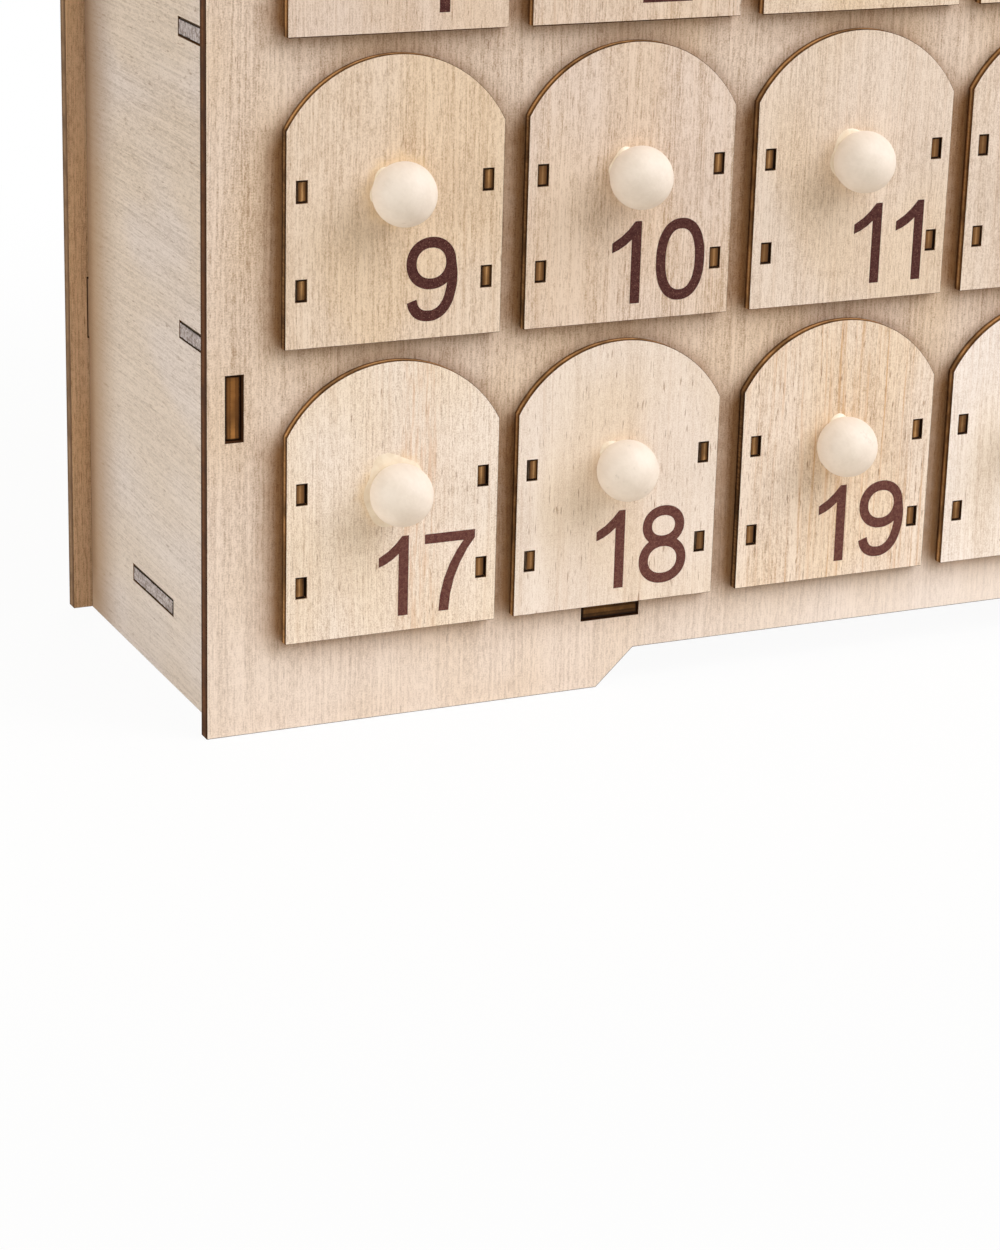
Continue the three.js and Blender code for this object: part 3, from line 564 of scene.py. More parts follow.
def front_board_finish():
    finish, wood, place = veneer("front_veneer", X, Z, front_tones, seed=3.1, spread=0.8, band=1.1)
    # Painted light from the floor at the foot
    weaker = abs(place[X]).ramp(*painted_light_middle) * painted_light_shares[1]
    wood = finish.mix((1 - place[Z].ramp(0.0, painted_light_height)) * (painted_light_shares[0] - weaker), wood, foot_painted_light)

    first, below, beside = [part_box(f"drawer_{number:02d}") for number in (1, 9, 2)]
    column, row = (beside[0].x - first[0].x) / mm, (first[0].z - below[0].z) / mm
    left, foot, top = first[0].x / mm, below[0].z / mm, first[1].z / mm
    # The painted shadow, by a distance that starts again in every column and row
    ragged = (finish.noise_at(place, shadow_cycles, 3.0) - 0.5) * shadow_swing
    across = place[X].math("FLOORED_MODULO", place[X] + column / 2, column) - column / 2
    along = place[Z].math("PINGPONG", place[Z] - (foot + straight_middle), row / 2)
    painted_shadow = (across + ragged).ramp(*shadow_left) * (1 - across.ramp(*shadow_right))
    painted_shadow = painted_shadow * (1 - (along + ragged).ramp(*shadow_above))
    shadow_under = place[Z].math("FLOORED_MODULO", foot - place[Z], row)
    shadow_under = (1 - (shadow_under + ragged).ramp(*shadow_below)) * below_share
    shadow_under = shadow_under * (1 - abs(place[X]).ramp(shadow_outside[0] - left, shadow_outside[1] - left))
    painted_shadow = painted_shadow.math("MAXIMUM", painted_shadow, shadow_under) * (1 - place[Z].ramp(top - shadow_top, top))
    return finish.surface(Base_Color=sooted(finish, wood, place, front_corner_shade, painted_shadow * painted_shadow_share))


front_face = front_board_finish()

# %% [markdown]
# The side walls are greyer and show their pores as short dashes. Towards the rear, painted shade with
# warm bounced light darkens them, more so higher up, and painted light from the floor makes the foot a
# little paler. The rear board is a browner sheet, also where it was cut. The inner boards are seen only
# past open drawers, so they get the plain finish, which also paints shade into corners.

# %% Finishes of the other boards
side_tones = (color(232, 218, 208), color(184, 165, 150), color(178, 160, 144))
# Painted light from the floor at the side walls' foot
side_painted_light, side_light_height, side_light_share = color(244, 238, 235), 110.0, 0.2
side_corner_shade = 0.5
# Painted shade with warm bounced light towards the rear board, darker higher up
rear_warm_shade, rear_shade = color(169, 137, 104), color(140, 110, 80)
shade_heights = (70.0, 150.0)  # mm
shaded_depths, rear_shade_share = (12.0, 33.0), 0.85  # mm in Y
rear_tones = (color(223, 189, 154), color(164, 128, 96), color(146, 110, 83))
inner_tones = (color(226, 206, 182), color(190, 166, 140), color(176, 148, 120))
scene_tones = (color(240, 220, 196), color(204, 178, 150), color(188, 156, 124))


def side_wall_finish():
    finish, wood, place = veneer("side_veneer", Z, Y, side_tones, seed=11.7, fleck=1.1, band=0.5)
    # Painted light at the foot, then painted shade towards the rear
    lit_foot = (1 - place[Z].ramp(0.0, side_light_height)) * side_light_share
    wood = finish.mix(lit_foot, wood, side_painted_light)
    painted_rear_shade = finish.mix(place[Z].ramp(*shade_heights), rear_warm_shade, rear_shade)
    wood = finish.mix(place[Y].ramp(*shaded_depths) * rear_shade_share, wood, painted_rear_shade)
    return finish.surface(Base_Color=sooted(finish, wood, place, side_corner_shade))


side_face = side_wall_finish()
rear_face = plain_board("rear_veneer", X, Z, rear_tones, seed=23.9, corner_shade=0.15, fibre=1.2)
inner_face = plain_board("inner_veneer", Y, X, inner_tones, seed=31.3, corner_shade=0.4)
divider_face = plain_board("divider_veneer", Y, Z, inner_tones, seed=37.7, corner_shade=0.4)
scene_face = plain_board("scene_veneer", X, Z, scene_tones, seed=43.3, corner_shade=0.6)
print("finishes so far:", len(bpy.data.materials))

# %% [markdown]
# Where the tabs come through the side walls they were sanded flush. Their end grain is pale and
# speckled, with streaks. Its ragged dark rim is painted shade of the thin gap round the tab, together
# with what is left of the burn.

# %% Sanded ends
sanded_pale, sanded_speck = color(204, 194, 192), color(134, 118, 110)
sanded_streak, sanded_rim_shade = color(112, 94, 88), color(64, 46, 36)
end_stretch = (1.0, 0.16, 2.2)  # cycles per mm, so the streaks run along Y
sanded_end = Finish("sanded_end")
end_place = sanded_end.place()
end_speck = sanded_end.noise_at(end_place, 1.7, 4.0, 0.7)
end_stretched = sanded_end.vector(*[part * cycles for part, cycles in zip(end_place, end_stretch)])
end_streak = sanded_end.noise(end_stretched, 3.0, 0.6)
end_tone = sanded_end.mix(end_speck.ramp(0.36, 0.64), sanded_pale, sanded_speck)
end_tone = sanded_end.mix(end_streak.ramp(0.5, 0.7) * 0.6, end_tone, sanded_streak)
# The dark rim is painted shade of the gap round the tab, with some burn
rim_shade_mask = sanded_end.attribute(margin_name) + (end_speck + end_streak - 1) * 1.2
sanded_end.surface(
    Base_Color=sanded_end.mix(rim_shade_mask.ramp(0.45, 0.8) * 0.9, end_tone, sanded_rim_shade),
    Roughness=0.75 + end_speck * 0.1,
)
print("width of a worn rim in mm:", round(end_margin / mm, 1))

# %% [markdown]
# Each board's edge gets its own burnt finish, because the plies have to lie in that board's thickness.
# `edge_of` takes the board's middle from its box. The front board's edge came out darkest, and the
# bottom board's is charred where it shows in the feet.

# %% Edges of the boards
sheet = 3 * mm
# Tones of the core, the outer plies and the glue lines
dark_edge = (color(106, 65, 36), color(84, 50, 24), color(50, 28, 13))
tab_edge = (color(176, 122, 66), color(132, 88, 46), color(46, 29, 17))
charred_edge = (color(138, 98, 54), color(94, 64, 34), color(34, 21, 12))
rear_edge = (color(154, 122, 92), color(137, 107, 79), color(95, 69, 47))
board_edge = (color(128, 94, 64), color(100, 70, 48), color(58, 38, 26))
streaky_brown = color(120, 78, 40)


def edge_of(node, axis, tones, uneven=None):
    low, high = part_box(node)
    start = ((low[axis] + high[axis]) / 2 - sheet / 2) / mm

    def through(finish, place):
        return (place[axis] - start) / (sheet / mm)

    return burnt_edge(node + "_edge", tones, through, ridge_axis=axis, uneven=uneven)


print("sheet of", round(sheet / mm, 1), "mm with three plies")

# %% [markdown]
# The loops make every board of the cabinet and the village. The tabs that end in the front and rear
# boards keep their burn, and those that come out at the sides were sanded.

# %% Cabinet boards
board("front_board", Y, front_face, edge_of("front_board", Y, dark_edge))
board("rear_board", Y, rear_face, edge_of("rear_board", Y, rear_edge))
for wall in ("side_wall_left", "side_wall_right"):
    board(wall, X, side_face, edge_of(wall, X, tab_edge, streaky_brown), dark_ends=Y)
for flat in ("bottom_board", "shelf_lower", "shelf_upper", "stage_board"):
    flat_edge = edge_of(flat, Z, charred_edge if flat == "bottom_board" else tab_edge)
    board(flat, Z, inner_face, flat_edge, dark_ends=Y, pale_ends=X)
for number in range(1, 8):
    node = f"divider_{number}"
    board(node, X, divider_face, edge_of(node, X, board_edge))
for node in ("houses_board", "church_board", "fir_left", "fir_right"):
    board(node, Y, scene_face, edge_of(node, Y, board_edge))
print("cabinet and village made")

# %% [markdown]
# ## Drawers
# A drawer is a front, a tray of four thin boards and a ball. The front is one outline with four slots,
# and the tray's sides end in tabs that sit a little deep in them. The shapes are the same for all 24,
# so each is made once and copied to its place.

# %% Drawer sizes
thin = 2 * mm
knob_radius = 6 * mm
knob_reach = 4 * mm  # from the front's face to the ball's middle
knob_height = 28.5 * mm
arch_rise = 12.9 * mm
slot_inset = 3.1 * mm  # from the front's side to the middle of a slot
slot_size = (2.15 * mm, 4.1 * mm)
tray_height = 36 * mm
tray_inset = 2.1 * mm
slot_height_shares = (0.305, 0.814)
tab_sink = 0.34 * mm
tab_room = (0.0, 0.15 * mm)  # beside a tab in its slot, and above and below it
tab_margin = 0.32 * mm

first_low, first_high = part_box("drawer_01")
front_width = first_high.x - first_low.x
front_height = first_high.z - first_low.z
front_face_y = first_low.y + knob_reach + knob_radius
tray_back_y = first_high.y
print("drawer front:", round(front_width / mm, 1), "by", round(front_height / mm, 1), "mm")

# %% [markdown]
# A laser cuts any outline as easily as a straight line, and a 2D curve is Blender's nearest thing: it
# fills the outline and leaves its holes open. The flat face is then stood up and given its thickness.


# %% Outlines cut from sheet
def add_line(curve, points):
    """Adds straight stretches through the points to a curve."""
    spline = curve.splines.new("POLY")
    spline.points.add(len(points) - 1)
    for point, place in zip(spline.points, points):
        point.co = (*place, 1)
    return spline


def bmesh_from(curve):
    """Turns a curve into a bmesh and clears the curve away."""
    holder = bpy.data.objects.new(curve.name, curve)
    mesh = bpy.data.meshes.new_from_object(holder)
    bm = bmesh.new()
    bm.from_mesh(mesh)
    bpy.data.objects.remove(holder)
    bpy.data.curves.remove(curve)
    bpy.data.meshes.remove(mesh)
    return bm


def flat_outline(loops):
    """A bmesh of one flat face in X and Y, whose first loop is the outline and the rest are holes."""
    curve = bpy.data.curves.new("outline", "CURVE")
    curve.dimensions = "2D"
    curve.fill_mode = "BOTH"
    for loop in loops:
        add_line(curve, [(x, y, 0) for x, y in loop]).use_cyclic_u = True
    return tidied(bmesh_from(curve))


def stand_up(bm, y):
    """Turns a flat face from X and Y to X and Z, facing -Y, at depth y."""
    bmesh.ops.rotate(bm, verts=bm.verts, cent=(0, 0, 0), matrix=Matrix.Rotation(math.pi / 2, 3, "X"))
    bmesh.ops.translate(bm, verts=bm.verts, vec=(0, y, 0))
    bm.normal_update()
    if sum(face.normal.y for face in bm.faces) > 0:
        bmesh.ops.reverse_faces(bm, faces=bm.faces)


def thicken(bm, depth):
    """Gives flat faces a thickness along +Y."""
    skin = bmesh.ops.extrude_face_region(bm, geom=bm.faces[:])
    moved = [item for item in skin["geom"] if isinstance(item, bmesh.types.BMVert)]
    bmesh.ops.translate(bm, verts=moved, vec=(0, depth, 0))
    bmesh.ops.recalc_face_normals(bm, faces=bm.faces)


def rectangle(x, y, width, height):
    left, right = x - width / 2, x + width / 2
    low, high = y - height / 2, y + height / 2
    return [(left, low), (right, low), (right, high), (left, high)]


print("a slot is", [round(size / mm, 2) for size in slot_size], "mm wide and high")

# %% [markdown]
# The front has straight sides and a flat arch. Its rim is inset a little, so the heat's tan can fade
# from the cut inwards, and its corners carry how dark each stretch is: the slots most, as burn, and the
# straight sides more than the arch, as burn and painted shade.

# %% Drawer front
arch_steps = 40
halo_width = 0.8 * mm
outline_burn = 0.35
slot_burn = 1.0
straight_burn_and_shade = 0.55  # painted shade and burn make the straight sides darker than the arch


def arch_loop(width, height, rise):
    radius = (width**2 / 4 + rise**2) / (2 * rise)
    middle = height - radius
    start = math.asin((height - rise - middle) / radius)
    loop = [(-width / 2, 0), (width / 2, 0)]
    for step in range(arch_steps + 1):
        angle = start + (math.pi - 2 * start) * step / arch_steps
        loop.append((radius * math.cos(angle), middle + radius * math.sin(angle)))
    return loop


slot_places = [
    (side * (front_width / 2 - slot_inset), share * tray_height)
    for side in (-1, 1)
    for share in slot_height_shares
]


def near_slot(point):
    reach = max(slot_size)
    return any(abs(point.x - x) < reach / 2 and abs(point.z - z) < reach for x, z in slot_places)


def front_shape():
    holes = [rectangle(x, z, *slot_size) for x, z in slot_places]
    bm = flat_outline([arch_loop(front_width, front_height, arch_rise)] + holes)
    stand_up(bm, front_face_y)
    burn = bm.verts.layers.float.new(burn_name)
    margin = bm.verts.layers.float.new(margin_name)
    for vert in bm.verts:
        vert[burn] = slot_burn if near_slot(vert.co) else outline_burn
        vert[margin] = straight_burn_and_shade if abs(vert.co.x) > front_width / 2 - weld else 0.0
    inner = bm.faces[:]
    bmesh.ops.inset_region(bm, faces=inner, thickness=halo_width, use_even_offset=True)
    for face in inner:
        for vert in face.verts:
            vert[burn] = 0.0
    thicken(bm, thin)
    for face in bm.faces:
        if abs(face.normal.y) > flat_enough:
            face.material_index = face_slot
        else:
            face.material_index = end_slot if near_slot(face.calc_center_median()) else edge_slot
    return bm


front_model = front_shape()
print("drawer front:", len(front_model.faces), "faces")

# %% [markdown]
# The tray is butted together from two sides, a back and a bottom, with a hair's gap where they meet.
# The attribute `ply` says how far each corner lies through its board, so the burnt edge works however
# the board stands.

# %% Drawer tray
ply_name = "ply"
tray_gap = 0.04 * mm  # where the boards of a tray meet


def sheet_block(bm, low, high, across):
    """A cuboid of plywood whose plies lie across one axis. Its faces get the veneer, the rest the edge."""
    made = bmesh.ops.create_cube(bm, size=1)["verts"]
    size = Vector(high) - Vector(low)
    bmesh.ops.scale(bm, verts=made, vec=size)
    bmesh.ops.translate(bm, verts=made, vec=(Vector(high) + Vector(low)) / 2)
    bm.normal_update()
    ply = bm.verts.layers.float[ply_name]
    for vert in made:
        vert[ply] = (vert.co[across] - low[across]) / size[across]
    faces = {face for vert in made for face in vert.link_faces}
    for face in faces:
        face.material_index = face_slot if abs(face.normal[across]) > flat_enough else edge_slot
    return faces


def tray_shape():
    bm = bmesh.new()
    for name in (ply_name, margin_name):
        bm.verts.layers.float.new(name)
    half = front_width / 2 - tray_inset
    front_y = front_face_y + thin
    ends = []
    for side in (-1, 1):
        x = sorted((side * half, side * (half - thin)))
        sheet_block(bm, (x[0], front_y, 0), (x[1], tray_back_y, tray_height), X)
        for share in slot_height_shares:
            z = share * tray_height
            reach = slot_size[1] / 2 - tab_room[1]
            low = (x[0] + tab_room[0], front_face_y + tab_sink, z - reach)
            high = (x[1] - tab_room[0], front_y + thin / 2, z + reach)
            ends += [face for face in sheet_block(bm, low, high, X) if face.normal.y < -flat_enough]
    inside = half - thin - tray_gap
    sheet_block(bm, (-inside, tray_back_y - thin, 0), (inside, tray_back_y, tray_height - thin), Y)
    bottom_low, bottom_high = front_y + tray_gap, tray_back_y - thin - tray_gap
    sheet_block(bm, (-inside, bottom_low, 0), (inside, bottom_high, thin), Z)
    mark_ends(bm, ends, tab_margin)
    return bm


tray_model = tray_shape()
print("tray:", len(tray_model.faces), "faces")

# %% [markdown]
# The ball, the drops of glue, the LEDs and the cells are all round about one axis, so one function
# spins a profile. A primitive sphere would do for the ball alone, but it has no flat foot.


# %% Turned shapes
def turned(profile, steps):
    """A shape turned about the Z axis from points of radius and height."""
    bm = bmesh.new()
    line = [bm.verts.new((radius, 0, height)) for radius, height in profile]
    for pair in zip(line, line[1:]):
        bm.edges.new(pair)
    bmesh.ops.spin(
        bm,
        geom=bm.verts[:] + bm.edges[:],
        cent=(0, 0, 0),
        axis=(0, 0, 1),
        angle=2 * math.pi,
        steps=steps,
        use_merge=True,
    )
    bmesh.ops.remove_doubles(bm, verts=bm.verts, dist=weld)
    bmesh.ops.recalc_face_normals(bm, faces=bm.faces)
    for face in bm.faces:
        face.smooth = True
    return bm


def aim(bm, axis, place):
    """Turns a shape's Z axis towards another and moves it."""
    turn = Vector((0, 0, 1)).rotation_difference(Vector(axis)).to_matrix()
    bmesh.ops.rotate(bm, verts=bm.verts, cent=(0, 0, 0), matrix=turn)
    bmesh.ops.translate(bm, verts=bm.verts, vec=place)
    return bm


def arc(radius, middle, start, end, steps):
    """Points on an arc, as radius and height, from angles in degrees above the level."""
    angles = [math.radians(start + (end - start) * step / steps) for step in range(steps + 1)]
    return [(radius * max(math.cos(angle), 0.0), middle + radius * math.sin(angle)) for angle in angles]


print("turned shapes are joined within", weld / mm, "mm")

# %% [markdown]
# Each ball stands on a flat, stuck to the front with a drop of wood glue that was pressed out round its
# foot. No two drops are alike, so the collar swells by a few waves, drawn from the drawer's number.

# %% Knob and its glue
glue_rise = 0.4 * mm
glue_spread = {9: 4.7, 10: 4.6, 11: 5.3, 17: 6.4, 18: 4.7, 19: 4.6}  # radius in mm, by number
glue_waves = (2, 3, 5)
usual_spread = (4.9, 6.0)  # mm
wave_sizes = (0.03, 0.07)  # shares of the collar's width
full_turn = 6.3  # the phases are drawn up to this
glue_profile_shares = [(0.0, 1.0), (0.25, 0.6), (0.55, 0.36), (0.85, 0.25), (1.0, 0.0)]
glue_under, glue_lip, lip_rise = 0.4 * mm, 0.1 * mm, 0.2 * mm
ball_steps, ball_turns, glue_turns = 26, 48, 40
foot_angle = math.degrees(math.asin(knob_reach / knob_radius))


def knob_shape():
    ball = turned(arc(knob_radius, knob_reach, 90, -foot_angle, ball_steps) + [(0, 0)], ball_turns)
    return aim(ball, (0, -1, 0), (0, front_face_y, knob_height))


def glue_shape(number):
    """A low collar of glue round the knob's foot, swollen unevenly."""
    chance = random.Random(number)
    spread = glue_spread.get(number, chance.uniform(*usual_spread)) * mm
    foot = knob_radius * math.cos(math.radians(foot_angle))
    profile = [(foot - glue_under, 0), (foot - glue_under, lip_rise)]
    for share, rise in glue_profile_shares:
        profile.append((foot + glue_lip + share * (spread - foot), rise * glue_rise))
    bm = turned(profile, glue_turns)
    swell = []
    for wave in glue_waves:
        swell.append((wave, chance.uniform(0, full_turn), chance.uniform(*wave_sizes)))
    for vert in bm.verts:
        radius = vert.co.xy.length
        angle = math.atan2(vert.co.y, vert.co.x)
        wobble = sum(size * math.sin(wave * angle + phase) for wave, phase, size in swell)
        share = max(radius - foot, 0) / (spread - foot)
        vert.co.xy *= 1 + wobble * share
        vert.co.z *= 1 + 2 * wobble
    return aim(bm, (0, -1, 0), (0, front_face_y, knob_height))


knob_model = knob_shape()
print("knob:", len(knob_model.faces), "faces")

# %% [markdown]
# ## Numbers
# The numbers are printed in a plain sans serif whose strokes keep one width. So each round figure is
# drawn as a pen stroke: a centre line, swept by a flat rectangle as wide as the pen. The straight ones
# are plain outlines, given a thickness. All points are shares of the figure's height.

# %% Figures
figure_height = 15.95 * mm
pen_share = 0.128
ink_thickness = 0.03 * mm
stroke_step = 0.006 * mm  # strokes that cross lie at different heights
half_pen = pen_share / 2
curve_steps = 6


def oval(x, y, rx, ry, squareness, steps=16):
    """A closed centre line, a little squarer than an ellipse."""
    points = []
    for step in range(steps):
        angle = 2 * math.pi * step / steps
        round_point = (math.cos(angle), math.sin(angle))
        reach = [math.copysign(abs(part) ** (2 / squareness), part) for part in round_point]
        points.append((x + rx * reach[0], y + ry * reach[1]))
    return points


# Figure: its width, then rings and strokes for the pen, and outlines
figure_shares = {
    "0": dict(width=0.65, rings=[oval(0.325, 0.5, 0.325 - half_pen, 0.5 - half_pen, 2.3)]),
    "1": dict(
        width=0.385,
        outlines=[
            [(0.257, 0.0), (0.385, 0.0), (0.385, 1.0), (0.298, 1.0), (0.215, 0.905), (0.115, 0.82),
             (0.0, 0.752), (0.0, 0.634), (0.09, 0.668), (0.18, 0.72), (0.257, 0.782)],
        ],
    ),
    "2": dict(
        width=0.65,
        strokes=[
            [(0.07, 0.71), (0.11, 0.845), (0.2, 0.918), (0.33, 0.936), (0.46, 0.91), (0.55, 0.82),
             (0.568, 0.71), (0.52, 0.58), (0.4, 0.43), (0.24, 0.28), (0.12, 0.15), (0.07, 0.07)],
        ],
        outlines=[[(0.0, 0.0), (0.65, 0.0), (0.65, 0.118), (0.02, 0.118)]],
    ),
    "3": dict(
        width=0.65,
        strokes=[
            [(0.068, 0.74), (0.11, 0.855), (0.2, 0.92), (0.31, 0.936), (0.44, 0.905), (0.515, 0.82),
             (0.525, 0.73), (0.48, 0.62), (0.37, 0.555), (0.25, 0.545)],
            [(0.3, 0.545), (0.43, 0.53), (0.54, 0.45), (0.586, 0.31), (0.55, 0.165), (0.44, 0.08),
             (0.3, 0.064), (0.17, 0.095), (0.085, 0.175), (0.06, 0.27)],
        ],
    ),
    "4": dict(
        width=0.67,
        outlines=[
            [(0.415, 0.0), (0.54, 0.0), (0.54, 0.24), (0.67, 0.24), (0.67, 0.355), (0.54, 0.355),
             (0.54, 1.0), (0.44, 1.0), (0.0, 0.36), (0.0, 0.24), (0.415, 0.24)],
            [(0.415, 0.355), (0.415, 0.8), (0.115, 0.355)],
        ],
    ),
    "5": dict(
        width=0.65,
        strokes=[
            [(0.1, 0.47), (0.19, 0.57), (0.31, 0.605), (0.46, 0.57), (0.56, 0.47), (0.586, 0.33),
             (0.55, 0.18), (0.45, 0.09), (0.3, 0.064), (0.16, 0.095), (0.085, 0.175), (0.06, 0.265)],
        ],
        outlines=[
            [(0.045, 0.47), (0.17, 0.49), (0.215, 0.868), (0.6, 0.868), (0.6, 0.985), (0.118, 0.985)],
        ],
    ),
    "6": dict(
        width=0.65,
        rings=[oval(0.338, 0.31, 0.25, 0.246, 2.1)],
        strokes=[
            [(0.086, 0.3), (0.068, 0.46), (0.09, 0.66), (0.16, 0.83), (0.26, 0.915), (0.36, 0.936),
             (0.47, 0.91), (0.545, 0.845), (0.58, 0.75)],
        ],
    ),
    "7": dict(
        width=0.655,
        outlines=[
            [(0.0, 0.985), (0.655, 0.985), (0.655, 0.885), (0.555, 0.75), (0.465, 0.585), (0.39, 0.4),
             (0.345, 0.2), (0.325, 0.0), (0.195, 0.0), (0.212, 0.2), (0.258, 0.4), (0.33, 0.585),
             (0.42, 0.745), (0.505, 0.865), (0.0, 0.865)],
        ],
    ),
    "8": dict(
        width=0.65,
        rings=[oval(0.325, 0.742, 0.222, 0.194, 2.1), oval(0.325, 0.3, 0.26, 0.236, 2.1)],
    ),
    "9": dict(
        width=0.65,
        rings=[oval(0.312, 0.69, 0.25, 0.246, 2.1)],
        strokes=[
            [(0.564, 0.7), (0.582, 0.54), (0.56, 0.34), (0.49, 0.17), (0.39, 0.085), (0.28, 0.064),
             (0.17, 0.09), (0.1, 0.16), (0.07, 0.25)],
        ],
    ),
}
print("figures described:", " ".join(figure_shares))

# %% [markdown]
# A curve can be swept by another curve, so the pen is a tiny rectangle. Where two strokes cross, each
# lies a few thousandths of a millimetre above the one before, because faces at one height would
# flicker.


# %% Drawing the figures
def pen_strokes(rings, strokes):
    """A mesh of ribbons in X and Y along the centre lines."""
    pen = bpy.data.curves.new("pen", "CURVE")
    pen.dimensions = "2D"
    corners = rectangle(0, ink_thickness / 2, pen_share * figure_height, ink_thickness)
    add_line(pen, [(x, y, 0) for x, y in corners]).use_cyclic_u = True
    pen_holder = bpy.data.objects.new("pen", pen)
    line = bpy.data.curves.new("figure", "CURVE")
    line.dimensions = "3D"
    line.twist_mode = "Z_UP"
    line.resolution_u = curve_steps
    line.bevel_mode = "OBJECT"
    line.bevel_object = pen_holder
    line.use_fill_caps = True
    for index, points in enumerate(rings + strokes):
        spline = line.splines.new("BEZIER")
        spline.bezier_points.add(len(points) - 1)
        for point, (x, y) in zip(spline.bezier_points, points):
            point.co = (x * figure_height, y * figure_height, index * stroke_step)
            point.handle_left_type = point.handle_right_type = "AUTO"
        spline.use_cyclic_u = points in rings
    holder = bpy.data.objects.new("figure", line)
    for item in (holder, pen_holder):
        scene.collection.objects.link(item)
    bpy.context.view_layer.update()
    depsgraph = bpy.context.evaluated_depsgraph_get()
    mesh = bpy.data.meshes.new_from_object(holder.evaluated_get(depsgraph))
    for item in (holder, pen_holder):
        bpy.data.objects.remove(item)
    return mesh


def figure_shape(character):
    """One figure standing in X and Z with its lower left corner at the origin, facing -Y."""
    shares = figure_shares[character]
    rings, strokes, outlines = [shares.get(kind, []) for kind in ("rings", "strokes", "outlines")]
    bm = bmesh.new()
    if outlines:
        bm = flat_outline([[(x * figure_height, y * figure_height) for x, y in loop] for loop in outlines])
        stand_up(bm, -ink_thickness)
        thicken(bm, ink_thickness)
    if rings or strokes:
        lines = bmesh.new()
        lines.from_mesh(pen_strokes(rings, strokes))
        bmesh.ops.remove_doubles(lines, verts=lines.verts, dist=weld)
        turn = Matrix.Rotation(math.pi / 2, 3, "X")
        bmesh.ops.rotate(lines, verts=lines.verts, cent=(0, 0, 0), matrix=turn)
        bmesh.ops.recalc_face_normals(lines, faces=lines.faces)
        mesh = bpy.data.meshes.new("strokes")
        lines.to_mesh(mesh)
        bm.from_mesh(mesh)
        lines.free()
    for face in bm.faces:
        face.smooth = False
    mesh = bpy.data.meshes.new("figure_" + character)
    bm.to_mesh(mesh)
    bm.free()
    return mesh


figures = {character: figure_shape(character) for character in figure_shares}
print("figures drawn, faces:", [len(figure.polygons) for figure in figures.values()])

# %% [markdown]
# The numbers stand low on their fronts, and the stamp never came down in quite the same place twice.
# They are set from right to left, because it is their right ends that line up.

# %% Where the numbers stand
figure_gap = 3.3 * mm
figure_base = 3.3 * mm  # above the drawer's lower edge
number_right = {1: 33.6, 2: 38.1}  # mm from the front's left side, by count of figures
# The print is never in quite the same place: extra shifts in mm of the numbers printed off centre
number_slips = {1: -2.2, 2: -0.8, 9: 0.7, 10: -0.3, 17: 0.6, 18: -0.9, 5: -0.6, 14: 0.7, 22: -0.9}
number_drops = {17: 0.2, 6: 0.3, 21: -0.3}


def number_shape(number):
    text = str(number)
    bm = bmesh.new()
    right = (number_right[len(text)] + number_slips.get(number, 0.0)) * mm - front_width / 2
    for character in reversed(text):
        width = figure_shares[character]["width"] * figure_height
        before = len(bm.verts)
        bm.from_mesh(figures[character])
        bm.verts.ensure_lookup_table()
        place = (right - width, front_face_y, figure_base - number_drops.get(number, 0.0) * mm)
        bmesh.ops.translate(bm, verts=bm.verts[before:], vec=place)
        right -= width + figure_gap
    return bm


print("numbers printed off centre:", sorted(number_slips))

# %% [markdown]
# ## Finishes of the drawers
# The veneer of every drawer front comes from another part of the sheet, so each has its own tone: some
# creamier, some greyer, two with orange streaks. Round the knob's foot a little glue has soaked in.

# %% Drawer finishes
cream = (color(247, 232, 216), color(190, 162, 134), color(200, 164, 130))
milky_cream = (color(248, 235, 222), color(194, 168, 143), color(204, 170, 138))
pale_cream = (color(243, 230, 218), color(198, 173, 150), color(208, 178, 150))
tan_cream = (color(236, 217, 197), color(182, 152, 122), color(194, 160, 124))
grey_cream = (color(237, 221, 206), color(182, 155, 130), color(204, 172, 142))
white_cream = (color(249, 239, 231), color(204, 182, 162), color(210, 182, 158))
dull_cream = (color(232, 214, 200), color(180, 151, 124), color(204, 172, 142))
orange_cream = (color(243, 227, 211), color(186, 155, 126), color(208, 162, 112))
# Tones and amounts of grain by number, where the grain is special
drawer_grain = {
    1: (dull_cream, dict(fibre=0.8, pore=0.7)),
    2: (dull_cream, dict(fibre=1.2, spread=1.2, streak=0.6)),
    3: (tan_cream, dict(fibre=0.6, fleck=1.2, pore=0.8)),
    9: (tan_cream, dict(fibre=0.95, spread=1.1, pore=0.4)),
    10: (dull_cream, dict(fibre=1.1, spread=1.1, band=1.6, pore=0.5)),
    11: (grey_cream, dict(fibre=0.95, spread=1.1, pore=0.4)),
    12: (grey_cream, dict(fibre=0.8, pore=0.3)),
    17: (milky_cream, dict(fibre=0.85, fleck=1.1, band=0.4, pore=0.6)),
    18: (pale_cream, dict(fibre=0.5, fleck=0.8, band=1.2, pore=0.7)),
    19: (orange_cream, dict(fibre=0.95, spread=1.2, pore=0.7, streak=0.8)),
    20: (white_cream, dict(fibre=0.8, pore=0.4)),
}
grain_cycle = [
    (cream, dict(fibre=0.9)),
    (grey_cream, dict(fibre=0.8, pore=0.7)),
    (orange_cream, dict(fibre=1.2, spread=1.2, streak=0.6)),
    (cream, dict(fibre=0.6, fleck=1.2, pore=0.8)),
    (grey_cream, dict(fibre=1.1, spread=1.2)),
]
